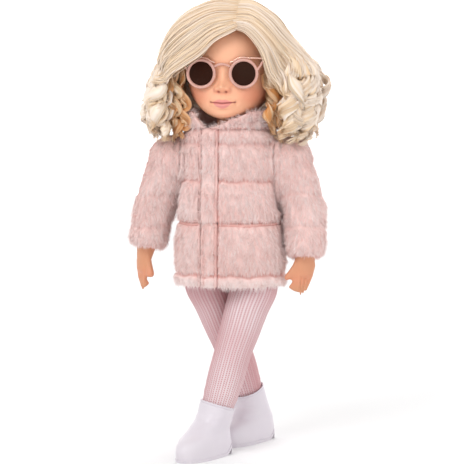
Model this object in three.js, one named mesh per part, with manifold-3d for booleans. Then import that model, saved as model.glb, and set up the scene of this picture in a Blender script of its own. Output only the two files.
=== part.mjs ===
// Play doll that stands with one leg crossed in front of the other: vinyl head, arms and legs on a stuffed cloth body,
// quilted jacket, tights, ankle boots and sunglasses.
// Millimetres, +Z up. The doll faces -Y and its left hand is on +X.

import * as THREE from 'three';
import { mergeVertices } from 'three/addons/utils/BufferGeometryUtils.js';
import Module from 'manifold-3d';

// Fits
const FIT = 0.3;
const RUN = 0.45;

// Standing pose
const LEG_LENGTH = 186.5;
const ANKLE_HEIGHT = 25;
const HIP_SPACING = 63;
const LEFT_LEG_IN = 14.4;
const LEFT_LEG_FORWARD = 10;
const RIGHT_LEG_IN = 15.4;
const RIGHT_LEG_BACK = 14;
const LEFT_TOE_IN = 23;
const RIGHT_TOE_OUT = 23;
const LEFT_ARM_FORWARD = 5;
const RIGHT_ARM_BACK = 5;

// Body
const HIP_TO_SHOULDER = 93;
const SHOULDER_SPACING = 120;
const CHEST_WIDTH = 86;
const CHEST_DEPTH = 60;
const WAIST_WIDTH = 76;
const WAIST_DEPTH = 56;
const SEAT_WIDTH = 86;
const SEAT_DEPTH = 60;
const SHOULDER_TO_NECK_RING = 30;
const NECK_RING_HEIGHT = 4;
const NECK_RING_RADIUS = 22;
const SHOULDER_DISC_RADIUS = 16;
const SHOULDER_DISC_THICKNESS = 2.5;
const ELASTIC_RADIUS = 1.6;
const ELASTIC_DEPTH = 16;

// Head
const SHOULDER_TO_CHIN = 40;
const HEAD_HEIGHT = 111;
const HEAD_WIDTH = 87;
const FACE_DEPTH = 46;
const SKULL_DEPTH = 48;
const WIDEST_ABOVE_CHIN = 60;
const VINYL_WALL = 3;
const NECK_RADIUS = 14.5;
const NECK_FLANGE_RADIUS = 17.5;
const NECK_FLANGE_HEIGHT = 5;
const JAW_FULLNESS = 2.8;
const CHIN_FULLNESS = 16;
const NAPE_FULLNESS = 1.9;
const NOSE_LENGTH = 7;
const NOSE_WIDTH = 11;
const MOUTH_WIDTH = 24;
const EAR_HEIGHT = 19;
const NECK_BACK = 4;
const BROW_DENT = 3.5;
const BROW_DENT_HEIGHT = 10;
const NOSE_HEIGHT = 13;
const NOSE_BELOW_EYE = 14;
const MOUTH_BELOW_EYE = 29.5;
const LIP_HEIGHT = 4.2;
const LIP_SWELL = 2.2;
const EAR_WIDTH = 12;
const EAR_THICKNESS = 3.4;

// Sleeping eyes
const EYE_RADIUS = 9.2;
const EYE_SPACING = 40;
const EYE_ABOVE_CHIN = 47;
const EYE_DEPTH_IN_FACE = 0.9;
const EYE_OPENING_WIDTH = 16;
const EYE_OPENING_HEIGHT = 11.5;
const EYE_BAR_RADIUS = 1.6;
const EYE_WEIGHT_DROP = 15;
const EYE_WEIGHT_RADIUS = 4.5;

// Sunglasses
const LENS_RADIUS = 11.5;
const LENS_THICKNESS = 1.4;
const LENS_SPACING = 42.4;
const RIM_WIDTH = 3;
const RIM_THICKNESS = 3;
const BRIDGE_ABOVE_LENS = 8;
const BROW_WIRE_RADIUS = 0.9;
const CAT_CORNER_OUT = 40.5;
const CAT_CORNER_ABOVE_LENS = 12.5;
const TEMPLE_HEIGHT = 3.4;
const TEMPLE_THICKNESS = 2;
const TEMPLE_LENGTH = 53;
const TEMPLE_ABOVE_LENS = 5;
const TEMPLE_SLOPE_LENGTH = 28;
const WING_RADIUS = 1.2;

// Hair
const HAIR_OVER_CROWN = 10;
const HAIR_WIDTH = 186;
const HAIR_TIP_WIDTH = 140;
const HAIR_JAW_WIDTH = 178;
const HAIR_BROW_WIDTH = 166;
const HAIR_CROWN_WIDTH = 136;
const HAIR_TOP_WIDTH = 98;
const HAIR_FRONT = 51;
const HAIR_BACK = 67;
const HAIR_WIDEST_ABOVE_CHIN = 33;
const HAIR_BELOW_CHIN = 19;
const HAIR_COLLAR_RADIUS = 48;
const HAIR_SPLIT_ABOVE_EYE = 15;
const LOCK_COUNT = 14;
const LOCK_RIDGE = 5;
const LOCK_TWIST_LENGTH = 90;
const HAIRLINE_ABOVE_EYE = 45;
const HAIRLINE_DEPTH = 8;
const HAIR_BACK_FROM = 22;
const COLLAR_TOP_ABOVE_CHIN = 14;
const PARTING_OFFSET = 13;
const PARTING_DEPTH = 2;

// Legs, tights and hips
const HIP_BALL_RADIUS = 19;
const HIP_CUP_WALL = 1.6;
const HIP_CUP_REACH = 55;
const THIGH_RADIUS = 22.5;
const THIGH_OUT = 3.5;
const KNEE_RADIUS = 17.5;
const CALF_RADIUS = 17.4;
const SHIN_RADIUS = 15.8;
const ANKLE_RADIUS = 13.5;
const KNEE_AT = 108;
const CALF_AT = 132;
const TIGHTS_WALL = 0.8;
const TIGHTS_TOP_AT = 24;
const WAISTBAND_HEIGHT = 20;
const WAISTBAND_WALL = 1.4;

// Boots
const BOOT_TOE_LENGTH = 54;
const BOOT_HEEL_LENGTH = 20;
const BOOT_WIDTH = 38;
const BOOT_HEEL_WIDTH = 32;
const BOOT_TOE_HEIGHT = 27;
const BOOT_WALL = 1.6;
const BOOT_RIM_AT = 160;
const SOLE_THICKNESS = 3;
const SOLE_WELT = 1;
const HEEL_HEIGHT = 6;
const ARCH_LENGTH = 10;
const HEEL_BREAST = 10;

// Jacket
const JACKET_WALL = 3.4;
const QUILT_CROWN = 2.5;
const HEM_BELOW_HIP = 32;
const HEM_BAND = 12;
const HEM_WIDTH = 113;
const HEM_DEPTH = 88;
const JACKET_CHEST_WIDTH = 98;
const JACKET_CHEST_DEPTH = 76;
const LOWER_SEAM_ABOVE_HIP = 31.5;
const UPPER_SEAM_ABOVE_HIP = 74;
const YOKE_SEAM_ABOVE_SHOULDER = 18;
const JACKET_TOP_ABOVE_SHOULDER = 32;
const JACKET_TOP_WIDTH = 88;
const JACKET_TOP_DEPTH = 76;
const PLACKET_LEFT_EDGE = -7;
const PLACKET_WIDTH = 17;
const PLACKET_RAISE = 1.2;
const ARMHOLE_RADIUS = 22;
const SIDE_SEAM_BACK = 6;
const COLLAR_FLARE = 1.5;
const COLLAR_OPEN_LEFT = 30;
const COLLAR_OPEN_RIGHT = 36;
const ARM_FLAT_RADIUS = 52;
const COLLAR_HEIGHT = 17;
const COLLAR_WALL = 3.4;
const LINING_WALL = 1;

// Arms and sleeves
const ARM_DOME_RADIUS = 16;
const UPPER_ARM_RADIUS = 14;
const ELBOW_RADIUS = 12.5;
const WRIST_RADIUS = 9.5;
const ELBOW_DROP = 48;
const WRIST_DROP = 94;
const LEFT_ELBOW_OUT = 17;
const LEFT_WRIST_OUT = 18;
const RIGHT_ELBOW_OUT = 20;
const RIGHT_WRIST_OUT = 29;
const HAND_LENGTH = 38;
const PALM_WIDTH = 22;
const PALM_THICKNESS = 13;
const THUMB_RADIUS = 3.8;
const THUMB_LENGTH = 22;
const SLEEVE_SHOULDER_RADIUS = 26;
const SLEEVE_RADIUS = 22;
const SLEEVE_WALL = 4;
const CUFF_RADIUS = 17.5;
const LEFT_CUFF_DROP = 97;
const RIGHT_CUFF_DROP = 90;
const SLEEVE_SIDE_GAP = 0.6;
const CUFF_DEPTH = 6;
const ELBOW_BACK = 2;
const WRIST_FORWARD = 6;

const wasm = await Module();
wasm.setup();

const rad = THREE.MathUtils.degToRad;

/** Smooth curve through a few [position, value] pairs. */
function through(pairs) {
  const slope = pairs.map((pair, i) => {
    const before = pairs[Math.max(i - 1, 0)];
    const after = pairs[Math.min(i + 1, pairs.length - 1)];
    return (after[1] - before[1]) / (after[0] - before[0]);
  });
  return (x) => {
    let i = 0;
    while (i < pairs.length - 2 && x > pairs[i + 1][0]) i += 1;
    const [x0, y0] = pairs[i];
    const [x1, y1] = pairs[i + 1];
    const span = x1 - x0;
    const t = THREE.MathUtils.clamp((x - x0) / span, 0, 1);
    const t2 = t * t;
    const t3 = t2 * t;
    return (2 * t3 - 3 * t2 + 1) * y0 + (t3 - 2 * t2 + t) * span * slope[i]
      + (3 * t2 - 2 * t3) * y1 + (t3 - t2) * span * slope[i + 1];
  };
}

/** Closed solid of a geometry, with its faces turned outwards. */
function solid(geometry) {
  const bare = geometry.clone();
  bare.deleteAttribute('normal');
  bare.deleteAttribute('uv');
  const merged = mergeVertices(bare, 1e-4);
  const points = merged.attributes.position.array;
  const source = merged.index.array;
  const triangles = [];
  let volume = 0;
  const corner = [new THREE.Vector3(), new THREE.Vector3(), new THREE.Vector3()];
  for (let i = 0; i < source.length; i += 3) {
    const [a, b, c] = [source[i], source[i + 1], source[i + 2]];
    if (a === b || b === c || c === a) continue;
    triangles.push(a, b, c);
    [a, b, c].forEach((at, k) => corner[k].fromArray(points, at * 3));
    volume += corner[0].dot(corner[1].clone().cross(corner[2]));
  }
  if (volume < 0) triangles.reverse();
  const vertProperties = new Float32Array(points);
  const triVerts = new Uint32Array(triangles);
  return new wasm.Manifold(new wasm.Mesh({ numProp: 3, vertProperties, triVerts }));
}

/** Closed skin over a row of rings that have the same number of points. */
function loft(rings) {
  const n = rings[0].length;
  const points = rings.flat();
  const index = [];
  for (let i = 0; i + 1 < rings.length; i += 1) {
    for (let j = 0; j < n; j += 1) {
      const a = i * n + j;
      const b = i * n + (j + 1) % n;
      index.push(a, b, b + n, a, b + n, a + n);
    }
  }
  const ends = [rings[0], rings[rings.length - 1]];
  ends.forEach((ring, k) => {
    const middle = points.length;
    const base = k === 0 ? 0 : (rings.length - 1) * n;
    points.push(ring.reduce((sum, p) => sum.add(p), new THREE.Vector3()).divideScalar(n));
    for (let j = 0; j < n; j += 1) {
      const pair = [base + j, base + (j + 1) % n];
      if (k === 0) pair.reverse();
      index.push(middle, ...pair);
    }
  });
  const geometry = new THREE.BufferGeometry().setFromPoints(points);
  geometry.setIndex(index);
  return geometry;
}

/** Level ring whose front, back and half-width are given, drawn towards a square by its fullness. */
function levelRing(z, wide, front, back, sides, fullness = 2) {
  const ring = [];
  for (let j = 0; j < sides; j += 1) {
    const turn = (j + 0.5) / sides * Math.PI * 2;
    const c = Math.cos(turn);
    const s = Math.sin(turn);
    const deep = s < 0 ? front : back;
    const x = Math.sign(c) * Math.abs(c) ** (2 / fullness) * wide;
    const y = Math.sign(s) * Math.abs(s) ** (2 / fullness) * deep;
    ring.push(new THREE.Vector3(x, y, z));
  }
  return ring;
}

/** Skin along stations { at, wide, deep }, whose wide direction keeps to the given axis. */
function limb(stations, sides, axis) {
  const rings = stations.map((station, i) => {
    const from = stations[Math.max(i - 1, 0)].at;
    const to = stations[Math.min(i + 1, stations.length - 1)].at;
    const along = to.clone().sub(from).normalize();
    const across = axis.clone().addScaledVector(along, -axis.dot(along)).normalize();
    const over = along.clone().cross(across);
    const ring = [];
    for (let j = 0; j < sides; j += 1) {
      const turn = (j + 0.5) / sides * Math.PI * 2;
      const point = station.at.clone();
      point.addScaledVector(across, Math.cos(turn) * station.wide);
      point.addScaledVector(over, Math.sin(turn) * station.deep);
      ring.push(point);
    }
    return ring;
  });
  return loft(rings);
}

/** Ball or egg with its own half-sizes. */
function egg(at, wide, deep, high, columns = 16, rows = 10) {
  const geometry = new THREE.SphereGeometry(1, columns, rows);
  geometry.rotateX(Math.PI / 2);
  geometry.scale(wide, deep, high);
  geometry.translate(at.x, at.y, at.z);
  return solid(geometry);
}

/** Round bar from one point to another. */
function bar(from, to, radius, sides = 16) {
  const along = to.clone().sub(from);
  const geometry = new THREE.CylinderGeometry(radius, radius, along.length(), sides);
  const turn = new THREE.Quaternion().setFromUnitVectors(new THREE.Vector3(0, 1, 0), along.clone().normalize());
  geometry.applyQuaternion(turn);
  const middle = from.clone().add(to).multiplyScalar(0.5);
  geometry.translate(middle.x, middle.y, middle.z);
  return solid(geometry);
}

/** Box between two corners. */
function block(low, high) {
  const size = high.clone().sub(low);
  const geometry = new THREE.BoxGeometry(size.x, size.y, size.z);
  const middle = low.clone().add(high).multiplyScalar(0.5);
  geometry.translate(middle.x, middle.y, middle.z);
  return solid(geometry);
}

/** Tube of round section along a curve. */
function cord(points, radius, steps, sides = 6) {
  const section = new THREE.Shape();
  for (let j = 0; j < sides; j += 1) {
    const turn = j / sides * Math.PI * 2;
    const place = [Math.cos(turn) * radius, Math.sin(turn) * radius];
    if (j === 0) section.moveTo(...place);
    else section.lineTo(...place);
  }
  const path = new THREE.CatmullRomCurve3(points);
  return solid(new THREE.ExtrudeGeometry(section, { steps, extrudePath: path, bevelEnabled: false }));
}

const at = (x, y, z) => new THREE.Vector3(x, y, z);
const FAR = 1000;

const finishes = {
  vinyl: { color: 0xeab48e, roughness: 0.55 },
  hair: { color: 0xefdfc2, roughness: 0.6 },
  fleece: { color: 0xf1cbc4, roughness: 0.95 },
  lining: { color: 0xc79aa6, roughness: 0.85 },
  tights: { color: 0xf4dcd9, roughness: 0.85 },
  cloth: { color: 0xe9c9b0, roughness: 0.95 },
  plastic: { color: 0xe6d9cf, roughness: 0.5 },
  elastic: { color: 0xf2eee8, roughness: 0.9 },
  boot: { color: 0xe8deea, roughness: 0.4 },
  sole: { color: 0xddd0de, roughness: 0.6 },
  frame: { color: 0xd9a3a0, roughness: 0.25 },
  wire: { color: 0xd8a07f, roughness: 0.25, metalness: 1 },
  lens: { color: 0x1f1613, roughness: 0.08 },
  eye: { color: 0xf4f1ec, roughness: 0.15 },
  weight: { color: 0x8b8c8f, roughness: 0.45, metalness: 0.9 },
};

const doll = new THREE.Group();

/** Adds one finished piece to the doll, or to a group on it. */
function piece(name, body, finish, group = doll) {
  const { vertProperties, triVerts, numProp } = body.getMesh();
  const geometry = new THREE.BufferGeometry();
  const position = new Float32Array(vertProperties.length / numProp * 3);
  for (let i = 0; i * numProp < vertProperties.length; i += 1) {
    position.set(vertProperties.subarray(i * numProp, i * numProp + 3), i * 3);
  }
  geometry.setAttribute('position', new THREE.BufferAttribute(position, 3));
  geometry.setIndex(new THREE.BufferAttribute(new Uint32Array(triVerts), 1));
  geometry.computeVertexNormals();
  const mesh = new THREE.Mesh(geometry, new THREE.MeshStandardMaterial(finishes[finish]));
  mesh.name = name;
  group.add(mesh);
}

/** Direction of a leg that is drawn inwards and swung forwards, in degrees. */
function legAlong(side, inward, forward) {
  const i = rad(inward);
  const f = rad(forward);
  return at(-side * Math.sin(i) * Math.cos(f), -Math.sin(f), -Math.cos(i) * Math.cos(f));
}

const leftLeg = legAlong(1, LEFT_LEG_IN, LEFT_LEG_FORWARD);
const rightLeg = legAlong(-1, RIGHT_LEG_IN, -RIGHT_LEG_BACK);
const hipZ = ANKLE_HEIGHT - LEG_LENGTH * leftLeg.z;
const shoulderZ = hipZ + HIP_TO_SHOULDER;
const neckRingZ = shoulderZ + SHOULDER_TO_NECK_RING;
const chinZ = shoulderZ + SHOULDER_TO_CHIN;
const eyeZ = chinZ + EYE_ABOVE_CHIN;
const crownZ = chinZ + HEAD_HEIGHT;

// Head: half-width, face depth and skull depth at a height above the chin
function headSection(h) {
  const above = h > WIDEST_ABOVE_CHIN;
  const span = above ? HEAD_HEIGHT - WIDEST_ABOVE_CHIN : WIDEST_ABOVE_CHIN;
  const u = Math.min(Math.abs(h - WIDEST_ABOVE_CHIN) / span, 1);
  const swell = (fullness) => Math.sqrt(Math.max(1 - u ** fullness, 0));
  const dent = BROW_DENT * Math.exp(-(((h - EYE_ABOVE_CHIN) / BROW_DENT_HEIGHT) ** 2));
  return {
    wide: swell(above ? 2 : JAW_FULLNESS) * HEAD_WIDTH / 2,
    front: swell(above ? 2.2 : CHIN_FULLNESS) * FACE_DEPTH - dent,
    back: swell(above ? 2 : NAPE_FULLNESS) * SKULL_DEPTH,
  };
}

function faceY(x, h) {
  const section = headSection(h);
  return -section.front * Math.sqrt(1 - (x / section.wide) ** 2);
}

function headSkin(grow, rows, sides) {
  const rings = [];
  for (let k = 0; k <= rows; k += 1) {
    const s = Math.sin((k / rows * 2 - 1) * Math.PI / 2 * 0.94);
    const h = WIDEST_ABOVE_CHIN + s * (s < 0 ? WIDEST_ABOVE_CHIN : HEAD_HEIGHT - WIDEST_ABOVE_CHIN);
    const { wide, front, back } = headSection(h);
    rings.push(levelRing(chinZ + h + grow * s, wide + grow, front + grow, back + grow, sides));
  }
  return solid(loft(rings));
}

// Sunglasses stand on the bridge of the nose and run back over the ears
const bridgeTop = EYE_ABOVE_CHIN + BRIDGE_ABOVE_LENS + RIM_WIDTH / 2;
const rimBackY = -headSection(bridgeTop).front - FIT;
const lensY = rimBackY - RIM_THICKNESS / 2;
const templeX = HEAD_WIDTH / 2 + FIT + TEMPLE_THICKNESS / 2 + 0.4;
const templeZ = eyeZ + TEMPLE_ABOVE_LENS;
const templeEndY = lensY + TEMPLE_LENGTH;
const earTop = templeZ - TEMPLE_HEIGHT / 2 - FIT;
const eyeX = EYE_SPACING / 2;
const eyeY = faceY(eyeX, EYE_ABOVE_CHIN) + EYE_DEPTH_IN_FACE + EYE_RADIUS;

function ear(side, grow) {
  const middle = at(side * HEAD_WIDTH / 2, templeEndY - 4, earTop - EAR_HEIGHT / 2);
  return egg(middle, EAR_THICKNESS + grow, EAR_WIDTH / 2 + grow, EAR_HEIGHT / 2 + grow, 10, 6);
}

/** Oval bar that runs front to back. */
function ovalBar(x, z, wide, high, fromY, toY) {
  const geometry = new THREE.CylinderGeometry(1, 1, toY - fromY, 16);
  geometry.scale(wide, 1, high);
  geometry.translate(x, (fromY + toY) / 2, z);
  return solid(geometry);
}

const flangeTop = neckRingZ - NECK_RING_HEIGHT - FIT;
const flangeBottom = flangeTop - NECK_FLANGE_HEIGHT;
const neckAt = (z) => at(0, NECK_BACK, z);

function buildHead() {
  const noseH = EYE_ABOVE_CHIN - NOSE_BELOW_EYE;
  const mouthH = EYE_ABOVE_CHIN - MOUTH_BELOW_EYE;
  let head = headSkin(0, 10, 22);
  const nose = at(0, faceY(0, noseH) + 1, chinZ + noseH);
  head = head.add(egg(nose, NOSE_WIDTH / 2, NOSE_LENGTH, NOSE_HEIGHT / 2, 10, 6));
  [1, -1].forEach((lip) => {
    const middle = at(0, faceY(0, mouthH), chinZ + mouthH + lip * LIP_HEIGHT / 2);
    head = head.add(egg(middle, MOUTH_WIDTH / 2, LIP_SWELL, LIP_HEIGHT * 0.62, 10, 6));
  });
  head = head.add(ear(1, 0)).add(ear(-1, 0));
  head = head.add(bar(neckAt(flangeBottom), neckAt(chinZ + MOUTH_BELOW_EYE), NECK_RADIUS, 20));
  head = head.add(bar(neckAt(flangeBottom), neckAt(flangeTop), NECK_FLANGE_RADIUS, 20));
  head = head.subtract(headSkin(-VINYL_WALL, 6, 12));
  const bore = NECK_RADIUS - VINYL_WALL;
  head = head.subtract(bar(neckAt(flangeBottom - 1), neckAt(chinZ + MOUTH_BELOW_EYE + 1), bore, 12));
  [1, -1].forEach((side) => {
    const x = side * eyeX;
    head = head.subtract(egg(at(x, eyeY, eyeZ), EYE_RADIUS + RUN, EYE_RADIUS + RUN, EYE_RADIUS + RUN, 12, 8));
    head = head.subtract(ovalBar(x, eyeZ, EYE_OPENING_WIDTH / 2, EYE_OPENING_HEIGHT / 2, -FAR, eyeY));
  });
  piece('head', head, 'vinyl');
}

function buildEyes() {
  [['eye_left', 1], ['eye_right', -1]].forEach(([name, side]) => {
    piece(name, egg(at(side * eyeX, eyeY, eyeZ), EYE_RADIUS, EYE_RADIUS, EYE_RADIUS, 12, 8), 'eye');
  });
  const reach = eyeX - EYE_RADIUS - FIT;
  piece('eye_bar', bar(at(-reach, eyeY, eyeZ), at(reach, eyeY, eyeZ), EYE_BAR_RADIUS, 8), 'weight');
  const hang = at(0, eyeY, eyeZ - EYE_BAR_RADIUS - FIT);
  const drop = at(0, eyeY, eyeZ - EYE_WEIGHT_DROP);
  const weight = egg(drop, EYE_WEIGHT_RADIUS, EYE_WEIGHT_RADIUS, EYE_WEIGHT_RADIUS, 10, 6);
  piece('eye_weight', bar(hang, drop, EYE_BAR_RADIUS, 8).add(weight), 'weight');
}

function buildSunglasses() {
  const inner = LENS_RADIUS + FIT;
  const outer = inner + RIM_WIDTH;
  const half = RIM_THICKNESS / 2;
  const lensX = LENS_SPACING / 2;
  const bridgeZ = eyeZ + BRIDGE_ABOVE_LENS;
  const bridgeX = lensX - Math.sqrt(outer ** 2 - BRIDGE_ABOVE_LENS ** 2) + RIM_WIDTH / 2;
  const corner = (side) => at(side * CAT_CORNER_OUT, lensY, eyeZ + CAT_CORNER_ABOVE_LENS);
  let frame = block(
    at(-bridgeX, lensY - half, bridgeZ - RIM_WIDTH / 2),
    at(bridgeX, lensY + half, bridgeZ + RIM_WIDTH / 2),
  );
  [['left', 1], ['right', -1]].forEach(([name, side]) => {
    const x = side * lensX;
    const profile = [[inner, -half], [outer, -half], [outer, half], [inner, half], [inner, -half]];
    const rim = new THREE.LatheGeometry(profile.map(([r, y]) => new THREE.Vector2(r, y)), 24);
    rim.translate(x, lensY, eyeZ);
    frame = frame.add(solid(rim));
    const middle = inner + RIM_WIDTH / 2;
    const low = at(x + side * middle * Math.cos(rad(12)), lensY, eyeZ + middle * Math.sin(rad(12)));
    frame = frame.add(bar(low, corner(side), WING_RADIUS, 8));
    const stations = [
      corner(side),
      at(side * templeX, lensY + TEMPLE_SLOPE_LENGTH, templeZ),
      at(side * templeX, templeEndY, templeZ),
    ].map((place) => ({ at: place, wide: TEMPLE_THICKNESS / 2 * 1.41, deep: TEMPLE_HEIGHT / 2 * 1.41 }));
    frame = frame.add(solid(limb(stations, 4, at(1, 0, 0))));
    const lens = new THREE.CylinderGeometry(LENS_RADIUS, LENS_RADIUS, LENS_THICKNESS, 24);
    lens.translate(x, lensY, eyeZ);
    piece(`lens_${name}`, solid(lens), 'lens');
    const over = outer + BROW_WIRE_RADIUS + FIT;
    const arc = [165, 130, 95, 70].map((deg) => {
      return at(x + side * over * Math.cos(rad(deg)), lensY, eyeZ + over * Math.sin(rad(deg)));
    });
    const start = at(side * (bridgeX - 1), lensY, bridgeZ + RIM_WIDTH / 2 + BROW_WIRE_RADIUS + FIT);
    const tip = corner(side).add(at(0, 0, WING_RADIUS + BROW_WIRE_RADIUS + FIT));
    piece(`brow_wire_${name}`, cord([start, ...arc.slice(1), tip], BROW_WIRE_RADIUS, 14), 'wire');
  });
  piece('sunglasses_frame', frame, 'frame');
}

// Hair: sections by height above the chin
const hairTop = HEAD_HEIGHT + HAIR_OVER_CROWN;
const browUp = HEAD_HEIGHT * 0.53;
const templeUp = HEAD_HEIGHT * 0.63;
const crownUp = HEAD_HEIGHT * 0.72;
const topUp = HEAD_HEIGHT * 0.937;
const tuftUp = HEAD_HEIGHT * 1.045;
const hairWide = through([
  [-HAIR_BELOW_CHIN, HAIR_TIP_WIDTH / 2], [0, HAIR_JAW_WIDTH / 2], [HAIR_WIDEST_ABOVE_CHIN, HAIR_WIDTH / 2],
  [browUp, HAIR_BROW_WIDTH / 2], [crownUp, HAIR_CROWN_WIDTH / 2], [topUp, HAIR_TOP_WIDTH / 2],
  [tuftUp, HAIR_TOP_WIDTH / 3], [hairTop, HAIR_TOP_WIDTH / 20],
]);
const hairFront = through([
  [-HAIR_BELOW_CHIN, HAIR_FRONT - 12], [HAIR_WIDEST_ABOVE_CHIN, HAIR_FRONT], [templeUp, HAIR_FRONT],
  [topUp, HAIR_FRONT * 0.76], [tuftUp, HAIR_FRONT * 0.51], [hairTop, HAIR_FRONT * 0.08],
]);
const hairBack = through([
  [-HAIR_BELOW_CHIN, HAIR_BACK - 14], [HAIR_WIDEST_ABOVE_CHIN, HAIR_BACK], [templeUp, HAIR_BACK - 1],
  [topUp, HAIR_BACK * 0.75], [tuftUp, HAIR_BACK * 0.54], [hairTop, HAIR_BACK * 0.1],
]);

function hairMass() {
  const rows = 11;
  const sides = LOCK_COUNT * 3;
  const rings = [];
  for (let k = 0; k <= rows; k += 1) {
    const h = -HAIR_BELOW_CHIN + (hairTop + HAIR_BELOW_CHIN) * Math.sin(k / rows * Math.PI / 2);
    const ring = levelRing(chinZ + h, hairWide(h), hairFront(h), hairBack(h), sides, 2.15);
    const curl = 1 - THREE.MathUtils.smoothstep(h, EYE_ABOVE_CHIN, HEAD_HEIGHT - 20);
    ring.forEach((point, j) => {
      const turn = (j + 0.5) / sides * Math.PI * 2;
      const wave = Math.cos(LOCK_COUNT * turn + h / LOCK_TWIST_LENGTH * Math.PI * 2);
      const outward = at(point.x, point.y, 0).normalize();
      point.addScaledVector(outward, LOCK_RIDGE * curl * (wave - 1) / 2);
    });
    rings.push(ring);
  }
  return solid(loft(rings));
}

function buildHair() {
  let hair = hairMass();
  hair = hair.subtract(headSkin(FIT, 10, 22)).subtract(ear(1, FIT)).subtract(ear(-1, FIT));
  // The face looks out under a hairline that rises to the parting
  const hairline = new THREE.SplineCurve([
    [-46, 1], [-34, 8], [-17, 18], [-9, 32], [PARTING_OFFSET, HAIRLINE_ABOVE_EYE], [28, 32], [35, 16], [43, -4],
  ].map(([x, z]) => new THREE.Vector2(x, eyeZ + z)));
  const opening = new THREE.Shape();
  opening.moveTo(-46, shoulderZ);
  hairline.getPoints(10).forEach((point) => opening.lineTo(point.x, point.y));
  opening.lineTo(43, shoulderZ);
  const window = new THREE.ExtrudeGeometry(opening, { depth: FAR, bevelEnabled: false });
  window.rotateX(Math.PI / 2);
  window.translate(0, -HAIRLINE_DEPTH, 0);
  hair = hair.subtract(solid(window));
  // Clear of the collar and of the shoulders when the head turns
  const under = [
    [0, -60], [HAIR_COLLAR_RADIUS + 46, -60], [HAIR_COLLAR_RADIUS + 46, -20], [HAIR_COLLAR_RADIUS + 23, -14],
    [HAIR_COLLAR_RADIUS, -2], [HAIR_COLLAR_RADIUS, COLLAR_TOP_ABOVE_CHIN], [0, COLLAR_TOP_ABOVE_CHIN],
  ].map(([r, z]) => new THREE.Vector2(r, z));
  const clear = new THREE.LatheGeometry(under, 22);
  clear.rotateX(Math.PI / 2);
  clear.translate(0, NECK_BACK, chinZ);
  hair = hair.subtract(solid(clear));
  // Room for the sunglasses, whose temples run back in channels
  const aside = CAT_CORNER_OUT + WING_RADIUS + 2;
  const over = CAT_CORNER_ABOVE_LENS + WING_RADIUS + BROW_WIRE_RADIUS * 2 + 2;
  const lensLow = at(-aside, -FAR, eyeZ - LENS_RADIUS - RIM_WIDTH - 2);
  hair = hair.subtract(block(lensLow, at(aside, rimBackY + 1, eyeZ + over)));
  [1, -1].forEach((side) => {
    const outer = side * (templeX + TEMPLE_THICKNESS);
    const low = at(Math.min(0, outer), -FAR, templeZ - TEMPLE_HEIGHT);
    const high = at(Math.max(0, outer), templeEndY + 2, templeZ + CAT_CORNER_ABOVE_LENS);
    hair = hair.subtract(block(low, high));
  });
  // Parting over the crown
  const groove = [0.56, 0.76, 0.88, 0.97, 1.05].map((part, i) => {
    const h = HEAD_HEIGHT * part;
    const x = PARTING_OFFSET - i;
    return at(x, -hairFront(h) * Math.sqrt(1 - (x / hairWide(h)) ** 2), chinZ + h);
  });
  hair = hair.subtract(cord(groove.slice(1), PARTING_DEPTH, 5, 5));
  const splitZ = eyeZ + HAIR_SPLIT_ABOVE_EYE;
  const above = block(at(-FAR, -FAR, splitZ), at(FAR, FAR, FAR));
  const below = block(at(-FAR, -FAR, -FAR), at(FAR, FAR, splitZ - FIT));
  const behind = block(at(-FAR, HAIR_BACK_FROM, -FAR), at(FAR, FAR, FAR));
  const ahead = block(at(-FAR, -FAR, -FAR), at(FAR, HAIR_BACK_FROM - FIT, FAR));
  const lower = hair.intersect(below);
  piece('hair_crown', hair.intersect(above), 'hair');
  piece('hair_back', lower.intersect(behind), 'hair');
  const sides = lower.intersect(ahead);
  piece('hair_left', sides.intersect(block(at(0, -FAR, -FAR), at(FAR, FAR, FAR))), 'hair');
  piece('hair_right', sides.intersect(block(at(-FAR, -FAR, -FAR), at(0, FAR, FAR))), 'hair');
}

buildHead();
buildEyes();
buildSunglasses();
buildHair();

/** Everything on the far side of a plane, as a large box. */
function beyond(point, normal) {
  const geometry = new THREE.BoxGeometry(FAR, FAR, FAR);
  geometry.translate(0, 0, FAR / 2);
  geometry.applyQuaternion(new THREE.Quaternion().setFromUnitVectors(at(0, 0, 1), normal.clone().normalize()));
  geometry.translate(point.x, point.y, point.z);
  return solid(geometry);
}

const hip = (side) => at(side * HIP_SPACING / 2, 0, hipZ);
const cupOuter = HIP_BALL_RADIUS + RUN + HIP_CUP_WALL;
const seatZ = hipZ + HIP_BALL_RADIUS;
const shoulderX = SHOULDER_SPACING / 2;
const bossX = CHEST_WIDTH / 2 + 1;
const discX = bossX + FIT + SHOULDER_DISC_THICKNESS;

// Stuffed torso: half-width and depth by height
const torsoWide = through([
  [seatZ, SEAT_WIDTH / 2], [hipZ + 62, WAIST_WIDTH / 2], [shoulderZ - 5, CHEST_WIDTH / 2],
  [shoulderZ + 12, CHEST_WIDTH / 2 - 2], [neckRingZ - 6, NECK_RING_RADIUS + 10], [neckRingZ, NECK_RING_RADIUS + 4],
]);
const torsoDeep = through([
  [seatZ, SEAT_DEPTH / 2], [hipZ + 62, WAIST_DEPTH / 2], [shoulderZ - 5, CHEST_DEPTH / 2],
  [shoulderZ + 12, CHEST_DEPTH / 2 - 3], [neckRingZ, NECK_RING_RADIUS + 4],
]);

function torsoSkin(grow, fromZ, toZ, rows, sides) {
  const rings = [];
  for (let k = 0; k <= rows; k += 1) {
    const z = fromZ + (toZ - fromZ) * k / rows;
    const deep = torsoDeep(z) + grow;
    rings.push(levelRing(z, torsoWide(z) + grow, deep, deep, sides, 2.3));
  }
  return solid(loft(rings));
}

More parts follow.
